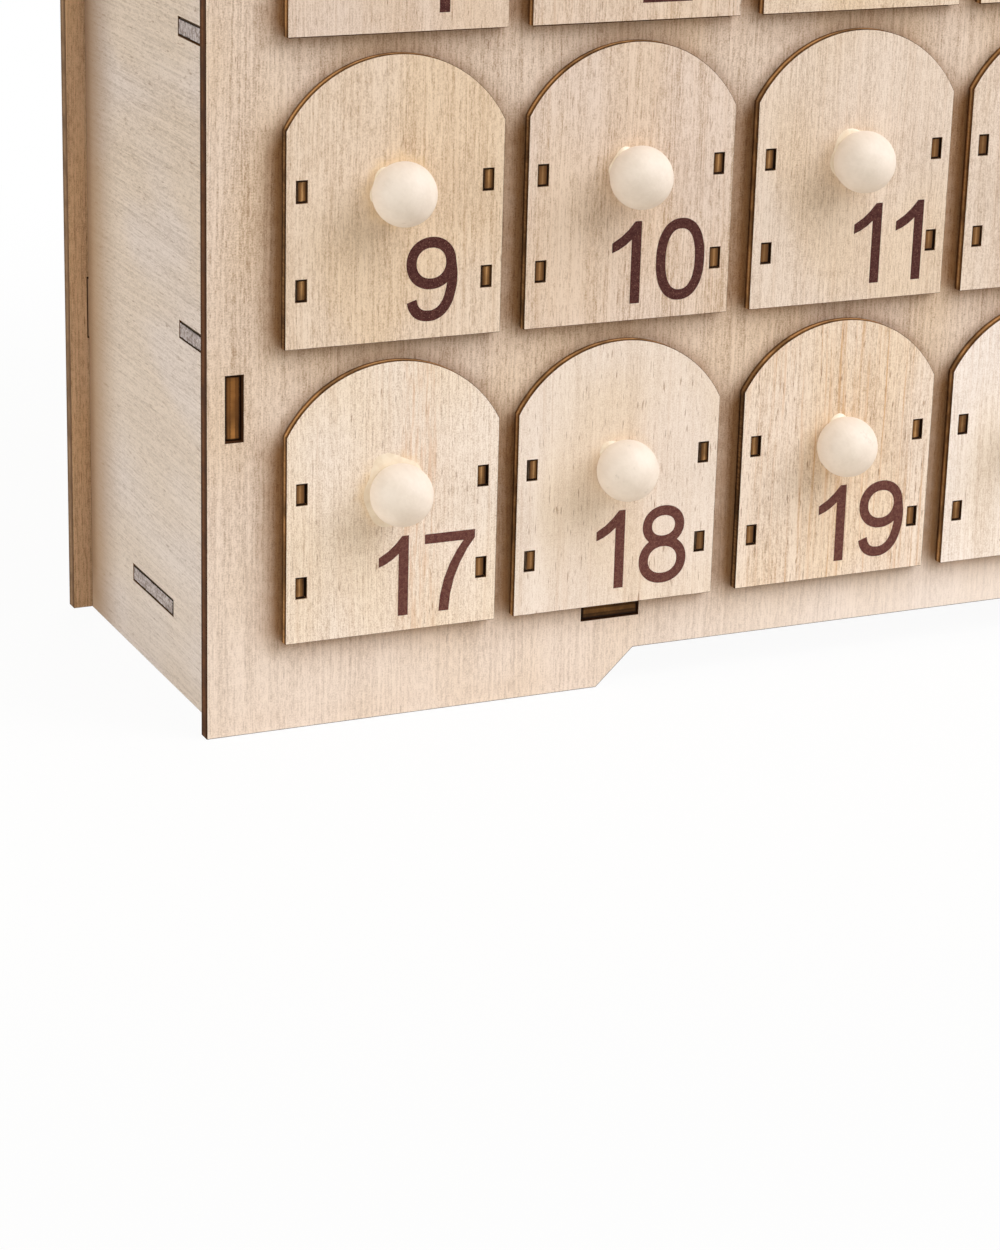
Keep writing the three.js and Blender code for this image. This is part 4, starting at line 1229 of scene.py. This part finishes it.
# A band of coloured fibres on one drawer: middle and half width, in mm from the drawer's middle
streak_bands = {17: (5.5, 4.5), 6: (-8.0, 5.0), 22: (11.0, 4.0)}
streak_cycles_xz = (1.7, 0.09)
streak_fibre_range, streak_fibre_share = (0.42, 0.66), 0.45
streak_orange = color(208, 162, 116)
glue_stain = color(243, 215, 168)
stain_range = (5.4, 8.2)  # mm from the knob's middle
stain_cycles, stain_swing = 0.45, 4.0
least_stain = 0.1
first_seed, seed_step = 50, 3.7
band_core_share = 0.6  # of a band's half width, where it is full
stain_shares = {9: 0.35, 17: 0.35, 5: 0.3, 14: 0.3, 23: 0.35}
drawer_edge_tones = (color(204, 154, 102), color(160, 112, 66), color(40, 24, 12))
slot_wall_tones = (color(70, 44, 24), color(48, 30, 16), color(28, 17, 9))
tray_tones = (color(190, 146, 96), color(150, 106, 62), color(56, 36, 20))
tray_brown = color(118, 82, 50)


def drawer_face(number, shift):
    tones, amounts = drawer_grain.get(number, grain_cycle[number % len(grain_cycle)])
    name, seed = f"drawer_veneer_{number:02d}", first_seed + seed_step * number
    finish, wood, place = veneer(name, X, Z, tones, seed, **amounts)
    x = place[X] - shift.x / mm
    z = place[Z] - (shift.z + knob_height) / mm
    if number in streak_bands:
        middle, half = streak_bands[number]
        inside = 1 - abs(x - middle).ramp(half * band_core_share, half)
        fibre_place = finish.vector(x * streak_cycles_xz[0], z * streak_cycles_xz[1], number)
        fibres = finish.noise(fibre_place, 3.0, 0.65).ramp(*streak_fibre_range)
        wood = finish.mix(fibres * inside * streak_fibre_share, wood, streak_orange)
    distance = (x * x + z * z) ** 0.5
    ragged = (finish.noise_at(place, stain_cycles) - 0.5) * stain_swing
    stain = 1 - (distance + ragged).ramp(*stain_range)
    wood = finish.mix(stain * stain_shares.get(number, least_stain), wood, glue_stain)
    return finish.surface(Base_Color=scorched(finish, wood, place))


def through_front(finish, place):
    return (place[Y] - front_face_y / mm) / (thin / mm)


def through_tray(finish, place):
    return finish.attribute(ply_name)


front_rims = (0.2, 0.34)
front_edge = burnt_edge("drawer_front_edge", drawer_edge_tones, through_front, Y, rims=front_rims)
slot_wall = burnt_edge("drawer_slot_wall", slot_wall_tones, through_front, ridge_axis=Y)
tray_edge = burnt_edge("tray_edge", tray_tones, through_tray, uneven=tray_brown)
tray_face = plain_board("tray_veneer", Z, Y, grey_cream, seed=71.0, corner_shade=0.4, fibre=0.8)
print("fronts with a grain of their own:", sorted(drawer_grain))

# %% [markdown]
# The balls are birch, sanded and left bare: ivory, almost without grain, with a few grey smudges of
# handling. The ink has sunk into the wood unevenly, so tiny specks of wood show through it, and it is
# browner on the lower row.

# %% Knob and ink
ball_light, ball_dark, ball_smudge = color(238, 225, 211), color(229, 215, 200), color(150, 134, 112)
grain_cycles = (1.8, 0.25, 1.8)  # per mm, so the ball's grain runs along Y
ball_wood = Finish("ball_wood")
ball_place = ball_wood.place()
ball_mottle = ball_wood.noise_at(ball_place, 0.3, 3.0)
ball_stretched = ball_wood.vector(*[part * cycles for part, cycles in zip(ball_place, grain_cycles)])
ball_grain = ball_wood.noise(ball_stretched, 2.0)
ball_tone = (ball_mottle * 0.65 + ball_grain * 0.35).ramp(0.3, 0.75)
smudges = ball_wood.noise_at(ball_place, 0.22, 4.0, 0.7).ramp(0.63, 0.72) * 0.22
ball_color = ball_wood.mix(ball_tone, ball_light, ball_dark)
ball_wood.surface(
    Base_Color=ball_wood.mix(smudges, ball_color, ball_smudge),
    Roughness=0.5 + ball_mottle * 0.12,
    Normal=ball_wood.bump(ball_mottle * 0.7 + ball_grain * 0.15, 0.35, 0.5 * mm),
)

ink = Finish("printed_ink", Specular_IOR_Level=wood_shine)
ink_rows = (35.0, 75.0)  # mm up, from the lower row's print to the next row's
low_ink, high_ink = color(86, 46, 40), color(60, 22, 19)
thin_ink, bare_speck = color(118, 76, 66), color(146, 104, 88)
ink_place = ink.place()
ink_speck = ink.noise_at(ink_place, 4.0, 2.0, 0.7)
ink_cloud = ink.noise_at(ink_place, 1.3, 3.0, 0.6)
ink_height = ink_place[Z].ramp(*ink_rows)
ink_tone = ink.mix(ink_height, low_ink, high_ink)
ink_tone = ink.mix(ink_cloud.ramp(0.35, 0.7) * (0.65 - ink_height * 0.35), ink_tone, thin_ink)
ink.surface(
    Base_Color=ink.mix(ink_speck.ramp(0.55, 0.75), ink_tone, bare_speck),
    Roughness=0.6 + ink_speck * 0.1,
)
print("finishes so far:", len(bpy.data.materials))

# %% [markdown]
# Now all 24 are made. Front, number, knob and glue were put on by hand, so they slip sideways together,
# and the tray stays true in its opening. Only the fronts get softened edges, because they are what the
# eye meets first.

# %% Make the drawers
# How far in mm a front was glued from its place, to the right
front_slips = {9: -0.2, 11: 0.2, 17: 0.25, 18: -0.45, 19: 0.25}
# How dark the burn and painted shade on the straight sides of a front are, next to the darkest
side_burn_and_shade = {
    1: 0.4, 2: 0.45, 3: 0.4, 4: 0.4, 10: 0.8, 11: 0.3, 12: 0.5,
    14: 0.4, 16: 0.6, 17: 0.7, 18: 0.6, 20: 0.3, 23: 0.5,
}
drawer_count = 24
front_softness = 0.1 * mm


def front_of(number):
    bm = front_model.copy()
    margin = bm.verts.layers.float[margin_name]
    for vert in bm.verts:
        vert[margin] *= side_burn_and_shade.get(number, 1.0)
    return bm


for number in range(1, drawer_count + 1):
    node = f"drawer_{number:02d}"
    low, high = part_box(node)
    slip = Vector((front_slips.get(number, 0.0) * mm, 0, 0))
    shift = Vector(((low.x + high.x) / 2, low.y - first_low.y, low.z))
    shapes = {
        "front": (front_of(number), [drawer_face(number, shift), front_edge, slot_wall], "drawer_plywood"),
        "tray": (tray_model.copy(), [tray_face, tray_edge], "drawer_plywood"),
        "knob": (knob_model.copy(), [ball_wood], "knob_wood"),
        "glue": (glue_shape(number), [wood_glue], "knob_wood"),
        "number": (number_shape(number), [ink], "drawer_plywood"),
    }
    for part, (bm, finishes, slot) in shapes.items():
        bmesh.ops.translate(bm, verts=bm.verts, vec=shift if part == "tray" else shift + slip)
        piece = make_piece(f"{part}_{number:02d}", bm, finishes, node, [node])
        if part == "front":
            soften(piece, front_softness, material=edge_slot)
print("drawers made:", drawer_count)

# %% [markdown]
# ## LEDs
# Each LED is a round bead of cast resin with a collar, pushed through the rear board from behind. The
# phosphor in it looks yellow while it is off. Behind the collar its legs are sleeved, and a blob of hot
# glue holds it. The bead, the sleeve and the blob are all turned shapes.

# %% LED finish
resin = Finish("led_resin", Coat_Weight=1.0, Coat_Roughness=0.05)
resin_clear, resin_yellow = color(252, 240, 208), color(246, 208, 120)
yellow_depth = 7.0  # mm behind the tip where the phosphor's yellow is full
led_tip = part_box("led_1")[0].y / mm
resin_place = resin.place()
resin_depth = (resin_place[Y] - led_tip).ramp(0.0, yellow_depth)
resin_cloud = resin.noise_at(resin_place, 0.8)
resin.surface(
    Base_Color=resin.mix(resin_depth, resin_clear, resin_yellow),
    Roughness=0.18 + resin_cloud * 0.1,
)
print("the LEDs' tips are at Y", round(led_tip, 1), "mm")

# %% [markdown]
# The hot glue was squeezed out by hand, so each blob swells unevenly round its axis, by waves drawn
# from the LED's number.

# %% LED shapes
led_radius = 2.5 * mm
collar_radius = 3.1 * mm
collar_depth = 1 * mm
sleeve_radius = 2 * mm
sleeve_depth = 3 * mm
blob_radius = 5.2 * mm
blob_rise = 1.7 * mm
led_steps, led_turns, sleeve_turns, blob_turns = 10, 32, 24, 28
bead_lip, lip_radius, collar_round = 0.4 * mm, 2.6 * mm, 0.15 * mm
bead_softness = 0.1 * mm
blob_profile_shares = [(0.0, 1.0), (0.45, 0.92), (0.78, 0.55), (1.0, 0.0), (0.0, 0.0)]
swell_share, swell_waves = 0.1, (1, 2, 3)
blob_smoothness = 0.6
led_count = 8
rear_face_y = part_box("rear_board")[1].y


def lumpy(bm, chance, amount):
    """Swells a turned shape unevenly round its axis."""
    swell = [(wave, chance.uniform(0, full_turn), amount / wave) for wave in swell_waves]
    for vert in bm.verts:
        angle = math.atan2(vert.co.y, vert.co.x)
        vert.co.xy *= 1 + sum(size * math.sin(wave * angle + phase) for wave, phase, size in swell)
    return bm


def blob(place, radius, rise, chance):
    """A drop of hot glue on the rear board's back."""
    profile = [(out * radius, up * rise) for out, up in blob_profile_shares]
    bm = lumpy(turned(profile, blob_turns), chance, swell_share)
    bmesh.ops.subdivide_edges(bm, edges=bm.edges, cuts=1, smooth=blob_smoothness, use_grid_fill=True)
    return aim(bm, (0, 1, 0), place)


led_places = []
for number in range(1, led_count + 1):
    node = f"led_{number}"
    low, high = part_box(node)
    middle = Vector(((low.x + high.x) / 2, high.y - collar_depth - sleeve_depth, (low.z + high.z) / 2))
    led_places.append(middle)
    length = middle.y - low.y
    bead = arc(led_radius, length - led_radius, 90, 0, led_steps)
    bead += [(led_radius, bead_lip), (lip_radius, 0), (collar_radius, 0)]
    bead += [(collar_radius, -0.9 * collar_depth)]
    bead += [(collar_radius - collar_round, -collar_depth), (0, -collar_depth)]
    shape = aim(turned(bead, led_turns), (0, -1, 0), middle)
    bead_piece = make_piece(f"bead_{number}", shape, [resin], "cabinet", [node])
    soften(bead_piece, bead_softness)
    sleeve = [(0, 0), (sleeve_radius, 0), (sleeve_radius, 0.8 * sleeve_depth)]
    sleeve += [(0.8 * sleeve_radius, 0.97 * sleeve_depth), (0, sleeve_depth)]
    shape = aim(turned(sleeve, sleeve_turns), (0, 1, 0), middle + Vector((0, collar_depth, 0)))
    make_piece(f"sleeve_{number}", shape, [jacket], "cabinet", [node])
    behind = Vector((middle.x, rear_face_y, middle.z))
    shape = blob(behind, blob_radius, blob_rise, random.Random(number))
    make_piece(f"glue_blob_{number}", shape, [hot_glue], "cabinet", [node])
print("LEDs at", [(round(place.x / mm), round(place.z / mm)) for place in led_places])

# %% [markdown]
# ## Wire
# Two thin wires are twisted together and run from the battery case past every LED. The route is a
# smooth curve through points beside the LEDs, so it is worked out first. Each strand then winds round
# it, as a curve with a round section.

# %% Route of the wire
wire_radius = 0.8 * mm
wire_gap = 0.5 * mm
route_steps = 60  # between two stops
pass_reach = collar_radius + 2 * wire_gap + wire_radius
# The sides on which the wire passes each LED, in degrees anticlockwise from +X as seen from the front
pass_sides = [[270], [275, 215, 156], [140], [102], [72], [42], [21, 320, 259], [262, 225]]
case_low, case_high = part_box("battery_case")
wire_y = rear_face_y + wire_gap + wire_radius
wire_start = Vector((case_low.x - wire_gap, wire_y, (case_low.z + case_high.z) / 2))


def point_between(four, knots, t):
    """The point at t on the curve through four stops, each at its own knot."""
    row = four
    for span in (1, 2):
        row = [
            near.lerp(far, (t - knots[index]) / (knots[index + span] - knots[index]))
            for index, (near, far) in enumerate(zip(row, row[1:]))
        ]
    return row[0].lerp(row[1], (t - knots[1]) / (knots[2] - knots[1]))


def route_through(stops, steps):
    """Points of a centripetal curve through the stops."""
    chain = [2 * stops[0] - stops[1]] + stops + [2 * stops[-1] - stops[-2]]
    points = []
    for four in zip(chain, chain[1:], chain[2:], chain[3:]):
        knots = [0.0]
        for near, far in zip(four, four[1:]):
            knots.append(knots[-1] + (far - near).length ** 0.5)
        for step in range(steps):
            t = knots[1] + (knots[2] - knots[1]) * step / steps
            points.append(point_between(four, knots, t))
    return points + [stops[-1]]


stops = [wire_start]
for place, sides in zip(led_places, pass_sides):
    for side in sides:
        angle = math.radians(side)
        away = Vector((math.cos(angle), 0, math.sin(angle))) * pass_reach
        stops.append(Vector((place.x, wire_y, place.z)) + away)
route = route_through(stops, route_steps)
wire_length = sum((far - near).length for near, far in zip(route, route[1:]))
print("wire length in mm:", round(wire_length / mm))

# %% [markdown]
# Each strand runs beside the route and turns round it with the length run so far. It is swept as a
# curve with a round bevel, which is easier to keep even than a spun mesh.

# %% Twisted strands
strand_radius = 0.42 * mm
twist_pitch = 9 * mm


def strand(phase):
    points = []
    run = 0.0
    for near, far in zip(route, route[1:]):
        ahead = (far - near).normalized()
        across = ahead.cross(Vector((0, 1, 0)))
        angle = 2 * math.pi * run / twist_pitch + phase
        offset = (across * math.cos(angle) + Vector((0, 1, 0)) * math.sin(angle)) * strand_radius
        points.append(near + offset)
        run += (far - near).length
    return points


def tube(lines, radius, sides=2):
    """A mesh of round wires along lines of points."""
    curve = bpy.data.curves.new("wire", "CURVE")
    curve.dimensions = "3D"
    curve.bevel_depth = radius
    curve.bevel_resolution = sides
    curve.use_fill_caps = True
    for line in lines:
        add_line(curve, line)
    bm = bmesh_from(curve)
    bmesh.ops.recalc_face_normals(bm, faces=bm.faces)
    for face in bm.faces:
        face.smooth = True
    return bm


strands = tube([strand(0.0), strand(math.pi)], strand_radius, 1)
print("wire:", len(strands.faces), "faces")
make_piece("twisted_wire", strands, [jacket], "cabinet", ["led_wire"])

# %% [markdown]
# A drop of hot glue holds the wire to the board about every 85 mm. A drop rises as far as the wire
# does, so the strands run through it and just show at its top.

# %% Drops of glue along the wire
drop_every = 85 * mm
drop_radius, drop_rise = 3.2 * mm, 2.1 * mm
first_drop_share = 0.6  # of the way to where the first drop would be due
drop_seed = 100
run = 0.0
drops = []
for near, far in zip(route, route[1:]):
    run += (far - near).length
    if run > drop_every * (len(drops) + first_drop_share):
        drops.append(near)
for index, place in enumerate(drops):
    chance = random.Random(drop_seed + index)
    shape = blob(Vector((place.x, rear_face_y, place.z)), drop_radius, drop_rise, chance)
    make_piece(f"glue_drop_{index + 1}", shape, [hot_glue], "cabinet", ["led_wire"])
print("drops of glue:", len(drops))

# %% [markdown]
# ## Battery case
# The case is moulded in black plastic with a fine spark texture. Its lid slides off to the right and
# has ribs for the thumb. Two cells lie side by side between plates of sheet steel, with a spring at
# each flat end. The CAD shapes are right here, so softened copies stand for them and the details are
# added.

# %% Battery finishes
case_black, case_wiped = color(30, 30, 32), color(40, 40, 42)
spark_cycles, wipe_cycles = 3.0, 0.08
spark_depth, spark_strength = 0.06 * mm, 0.35
plastic = Finish("case_plastic")
plastic_place = plastic.place()
spark = plastic.noise_at(plastic_place, spark_cycles, 3.0, 0.6)
wipe = plastic.noise_at(plastic_place, wipe_cycles, 2.0)
plastic.surface(
    Base_Color=plastic.mix(wipe.ramp(0.35, 0.7), case_black, case_wiped),
    Roughness=0.42 + spark * 0.2,
    Normal=plastic.bump(spark, spark_strength, spark_depth),
)

steel_light, steel_dark = color(206, 206, 202), color(176, 177, 175)
brush_cycles = (4, 4, 0.4)  # per mm, so the sheet is brushed along Z
steel = Finish("contact_steel", Metallic=1.0)
steel_stretched = [part * cycles for part, cycles in zip(steel.place(), brush_cycles)]
brushed = steel.noise(steel.vector(*steel_stretched), 3.0)
steel.surface(
    Base_Color=steel.mix(brushed, steel_light, steel_dark),
    Roughness=0.22 + brushed * 0.2,
)

cell_low, cell_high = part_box("battery_cell_upper")
film_grey, film_green, film_worn = color(58, 62, 64), color(62, 128, 92), color(150, 158, 150)
band_ends = ((0.3, 0.31), (0.69, 0.7))  # shares of the cell's length
sleeve_film = Finish("cell_jacket", Coat_Weight=0.5, Coat_Roughness=0.12)
film_place = sleeve_film.place()
film_scuff = sleeve_film.noise_at(film_place, 0.5, 4.0, 0.65)
film_share = (film_place[X] - cell_low.x / mm) / ((cell_high.x - cell_low.x) / mm)
film_band = film_share.ramp(*band_ends[0]) * (1 - film_share.ramp(*band_ends[1]))
film_tone = sleeve_film.mix(film_band, film_grey, film_green)
sleeve_film.surface(
    Base_Color=sleeve_film.mix(film_scuff.ramp(0.6, 0.8) * 0.3, film_tone, film_worn),
    Roughness=0.28 + film_scuff * 0.2,
)
print("finishes in all:", len(bpy.data.materials))

# %% [markdown]
# The thumb needs something to push against. The lid has ribs across its right end and the switch has
# three grip lines. Each is a bar that sinks a little into the softened copy under it.

# %% Case, lid and switch
lid_low, lid_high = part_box("battery_lid")
knob_low, knob_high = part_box("switch_slider")
lid_middle = (lid_low + lid_high) / 2
slider_middle = (knob_low + knob_high) / 2
rib_size = Vector((0.9, 0.5, 15)) * mm
rib_pitch, rib_start, rib_rise = 2 * mm, 4 * mm, 0.2 * mm
rib_count = 7
grip_size = Vector((3.0, 0.4, 0.45)) * mm
grip_pitch = 1.1 * mm
case_softness, lid_softness, button_softness = 0.45 * mm, 0.2 * mm, 0.12 * mm


def bar(bm, middle, size):
    made = bmesh.ops.create_cube(bm, size=1)["verts"]
    bmesh.ops.scale(bm, verts=made, vec=size)
    bmesh.ops.translate(bm, verts=made, vec=middle)


shell = copy_of("battery_case")
case = make_piece("case_shell", shell, [plastic], "cabinet", ["battery_case"])
soften(case, case_softness, segments=3)

lid = copy_of("battery_lid")
for index in range(rib_count):
    x = lid_high.x - rib_start - index * rib_pitch
    bar(lid, Vector((x, lid_high.y + rib_rise, lid_middle.z)), rib_size)
lid_piece = make_piece("case_lid", lid, [plastic], "battery_lid", ["battery_lid"])
soften(lid_piece, lid_softness)

slider = copy_of("switch_slider")
for index in (-1, 0, 1):
    z = slider_middle.z + index * grip_pitch
    bar(slider, Vector((slider_middle.x, knob_high.y, z)), grip_size)
moving = "switch_slider"
button = make_piece("switch_button", slider, [slider_plastic], moving, [moving])
soften(button, button_softness)
print("ribs on the lid:", rib_count)

# %% [markdown]
# Beside the switch stand the usual raised signs: a bar for on, at the top, and a ring for off.

# %% Switch signs
sign_rise = 0.25 * mm
sign_offset = 10.5 * mm
bar_width, bar_height = 0.7 * mm, 3.2 * mm
ring_radius, ring_hole = 1.6 * mm, 0.95 * mm
ring_turns = 32
sign_sink = 0.1 * sign_rise
sign_x, sign_z = slider_middle.x, (case_low.z + case_high.z) / 2

sign = bmesh.new()
bar_middle = Vector((sign_x, case_high.y + sign_rise / 2, sign_z + sign_offset))
bar(sign, bar_middle, Vector((bar_width, sign_rise, bar_height)))
make_piece("sign_on", sign, [slider_plastic], "cabinet", ["battery_case"])

outer, inner = ring_radius, ring_hole
ring_profile = [(outer, -sign_sink), (outer, sign_rise), (inner, sign_rise), (inner, -sign_sink)]
ring = turned(ring_profile + ring_profile[:1], ring_turns)
aim(ring, (0, 1, 0), (sign_x, case_high.y, sign_z - sign_offset))
for face in ring.faces:
    face.smooth = False
make_piece("sign_off", ring, [slider_plastic], "cabinet", ["battery_case"])
print("signs", round(2 * sign_offset / mm), "mm apart")

# %% [markdown]
# The two cells lie in opposite directions, as the contacts need. A cell is a can in a plastic sleeve
# that was shrunk over both rims, so the profile turns in there and the sleeve's faces end a little way
# past the rim.

# %% Cells
film_slot, metal_slot = 0, 1
cell_radius = 7.1 * mm
cell_length = cell_high.x - cell_low.x
nub_radius = 2.7 * mm
nub_height = 1.2 * mm
nub_foot, nub_round = 0.2 * mm, 0.3 * mm
crimp = 0.7 * mm
sleeve_width = 1.7 * crimp  # of the rim that the sleeve covers
cell_turns = 40


def cell_shape():
    """A cell along +Z from its flat end, with the sleeve shrunk over both rims."""
    body = cell_length - nub_height
    profile = [(0, 0), (cell_radius - 2 * crimp, 0), (cell_radius - crimp, 0.15 * crimp)]
    profile += [(cell_radius - 0.3 * crimp, 0.1 * crimp), (cell_radius, crimp)]
    profile += [(cell_radius, body - crimp), (cell_radius - 0.3 * crimp, body - 0.1 * crimp)]
    profile += [(cell_radius - crimp, body - 0.1 * crimp), (cell_radius - 2 * crimp, body - 0.4 * crimp)]
    profile += [(nub_radius + nub_foot, body - 0.3 * crimp), (nub_radius, body)]
    profile += [(nub_radius, cell_length - nub_round), (nub_radius - nub_round, cell_length)]
    profile += [(0, cell_length)]
    bm = turned(profile, cell_turns)
    for face in bm.faces:
        middle = face.calc_center_median()
        sleeved = middle.xy.length > cell_radius - sleeve_width
        face.material_index = film_slot if sleeved else metal_slot
    return bm


for node, ahead in (("battery_cell_upper", 1), ("battery_cell_lower", -1)):
    low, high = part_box(node)
    start = Vector((low.x if ahead > 0 else high.x, (low.y + high.y) / 2, (low.z + high.z) / 2))
    shape = aim(cell_shape(), (ahead, 0, 0), start)
    make_piece(node + "_sleeved", shape, [sleeve_film, steel], "cabinet", [node])
print("cells are", round(cell_length / mm, 1), "mm long")

# %% [markdown]
# At each end of the case a plate of spring steel stands at the wall. The flat end of a cell leans on a
# spring, which narrows as it winds towards the cell, and the nub touches a pressed dimple.

# %% Contacts
contact_sheet = 0.4 * mm
spring_wire = 0.3 * mm
spring_turns = 2.5
spring_steps = 60
spring_radii = (3.6 * mm, 2.1 * mm)  # at the plate and at the cell
# A dimple's radius in mm, and its rise as a share of the plate's distance from the cell
dimple_profile = [(0.0, 1.0), (1.2, 0.9), (2.2, 0.45), (2.9, 0.0), (0.0, 0.0)]
dimple_turns = 28
plate_softness = 0.1 * mm
cell_boxes = [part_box(node) for node in ("battery_cell_upper", "battery_cell_lower")]
upper_z, lower_z = [(low.z + high.z) / 2 for low, high in cell_boxes]
cell_axis_y = (cell_low.y + cell_high.y) / 2


def spring_line(base_x, z, toward, reach):
    """A winding line from the plate to the cell."""
    line = []
    for step in range(spring_steps + 1):
        share = step / spring_steps
        angle = 2 * math.pi * spring_turns * share
        radius = spring_radii[0] - (spring_radii[0] - spring_radii[1]) * share
        x = base_x + toward * (spring_wire + share * (reach - 2 * spring_wire))
        line.append(Vector((x, cell_axis_y + radius * math.cos(angle), z + radius * math.sin(angle))))
    return line


def contact(node, toward, pads):
    """A plate at the case's wall. toward is the cells' side, and a pad is a height and spring or dimple."""
    low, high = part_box(node)
    wall_x, tip_x = (low.x, high.x) if toward > 0 else (high.x, low.x)
    base_x = wall_x + toward * contact_sheet
    plate_low = Vector((min(wall_x, base_x), low.y, low.z))
    plate_high = Vector((max(wall_x, base_x), high.y, high.z))
    bm = bmesh.new()
    bar(bm, (plate_low + plate_high) / 2, plate_high - plate_low)
    plate = make_piece(node + "_plate", bm, [steel], "cabinet", [node])
    soften(plate, plate_softness)
    reach = abs(tip_x - base_x)
    for z, kind in pads:
        if kind == "spring":
            shape = tube([spring_line(base_x, z, toward, reach)], spring_wire, 2)
        else:
            dome = [(radius * mm, rise * reach) for radius, rise in dimple_profile]
            shape = aim(turned(dome, dimple_turns), (toward, 0, 0), (base_x, cell_axis_y, z))
        make_piece(f"{node}_{kind}", shape, [steel], "cabinet", [node])


contact("contact_bridge", -1, [(upper_z, "dimple"), (lower_z, "spring")])
contact("contact_upper", 1, [(upper_z, "spring")])
contact("contact_lower", 1, [(lower_z, "dimple")])
print("battery case filled")

# %% [markdown]
# ## Light and floor
# The calendar stands on white, in soft light from all round. The floor and the sky have to be white to
# the camera, but a white floor that glowed at the wood too would wash out every shadow. So both ask
# what kind of ray meets them. The camera's rays, and those that were mirrored or refracted, see white,
# while the light that falls on the wood comes from a dim warm room. Close to the foot the floor keeps a
# light shadow, and further out it glows evenly.


# %% White floor
def seen_by_camera(nodes):
    """1 for rays that show the background: the camera's, mirrored and refracted ones."""
    kinds = ("Is Camera Ray", "Is Glossy Ray", "Is Transmission Ray")
    camera_ray, mirrored, refracted = [nodes.node("LightPath", {}, {}, kind) for kind in kinds]
    return camera_ray.math("MAXIMUM", camera_ray, mirrored.math("MAXIMUM", mirrored, refracted))


floor_size = 8.0
floor_glow = 0.95
glow_reach = (60.0, 400.0)  # mm from the foot, from the least glow to the full one
paper, room = (0.84, 0.8, 0.73, 1.0), (0.5, 0.47, 0.42, 1.0)
paper_reach = (50.0, 240.0)  # mm

floor_mesh = bpy.data.meshes.new("floor")
bm = bmesh.new()
bmesh.ops.create_grid(bm, x_segments=1, y_segments=1, size=floor_size / 2)
bm.to_mesh(floor_mesh)
bm.free()
floor = bpy.data.objects.new("floor", floor_mesh)
scene.collection.objects.link(floor)

floor_finish = Finish("floor", Roughness=1.0)
floor_place = floor_finish.place()
foot_low, foot_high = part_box("front_board")[0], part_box("rear_board")[1]
foot_middle = (foot_low + foot_high) / 2 / mm
foot_half = (foot_high - foot_low) / 2 / mm
beside = [abs(floor_place[axis] - foot_middle[axis]) - abs(foot_half[axis]) for axis in (X, Y)]
beside = [part.math("MAXIMUM", part, 0.0) for part in beside]
from_foot = (beside[X] * beside[X] + beside[Y] * beside[Y]) ** 0.5
floor_finish.surface(Base_Color=floor_finish.mix(from_foot.ramp(*paper_reach), paper, room))
glow_share = floor_glow + from_foot.ramp(*glow_reach) * (1 - floor_glow)
lit = Value(floor_finish, floor_finish.shader.outputs[0])
glowing = floor_finish.node("Emission", {}, {"Strength": 1.0})
shares = {0: seen_by_camera(floor_finish) * glow_share, 1: lit, 2: glowing}
output = floor_finish.tree.nodes["Material Output"]
floor_finish.feed(output.inputs["Surface"], floor_finish.node("MixShader", {}, shares))
floor_mesh.materials.append(floor_finish.material)
print("floor", floor_size, "m wide")

# %% [markdown]
# Five lamps do the rest, all aimed at the corner that the camera looks at. The key light stands high on
# the right in front, so the knobs and the fronts throw soft shadows to the left and down. A lamp above
# and a large warm one in front soften them. A cool one at the left keeps the side wall readable, and
# one from behind lights the rear board and the edges. Lit by the sky alone, the wood would look flat.

# %% World and lamps
sky_level = 0.24
sky_tint = (1.0, 0.9, 0.74)
white = (1, 1, 1, 1)
lit_corner = Vector((-0.08, -0.05, 0.09))

world = bpy.data.worlds.new("world")
world.use_nodes = True
scene.world = world
sky = Nodes(world.node_tree)
warm_room = (*[share * sky_level for share in sky_tint], 1)
sky_color = sky.mix(seen_by_camera(sky), warm_room, white)
sky.feed(sky.tree.nodes["Background"].inputs["Color"], sky_color)


def lamp(name, direction, distance, size, power, tint=(1, 1, 1)):
    """A round soft lamp that looks at the lit corner from a distance in metres."""
    data = bpy.data.lights.new(name, "AREA")
    data.shape = "DISK"
    data.size = size
    data.energy = power
    data.color = tint
    holder = bpy.data.objects.new(name, data)
    away = Vector(direction).normalized()
    holder.location = lit_corner + away * distance
    holder.rotation_euler = (-away).to_track_quat("-Z", "Y").to_euler()
    scene.collection.objects.link(holder)


lamp("key", (1.5, -1.05, 1.2), 2.0, 1.5, 27.5, (0.98, 1.0, 1.06))
lamp("top", (0.3, -0.5, 1.0), 2.0, 1.2, 14)
lamp("front_fill", (-0.2, -1.0, 0.3), 2.0, 2.2, 4, (1.0, 0.95, 0.87))
lamp("left_fill", (-1.0, -0.16, 0.08), 1.3, 0.9, 9.6, (0.95, 0.98, 1.0))
lamp("rear_fill", (0.5, 1.0, 0.55), 2.2, 1.5, 22)
print("lamps:", ", ".join(light.name for light in bpy.data.lights))

# %% [markdown]
# The Standard view shows the colours as they were mixed.

# %% Finish
scene.view_settings.view_transform = "Standard"
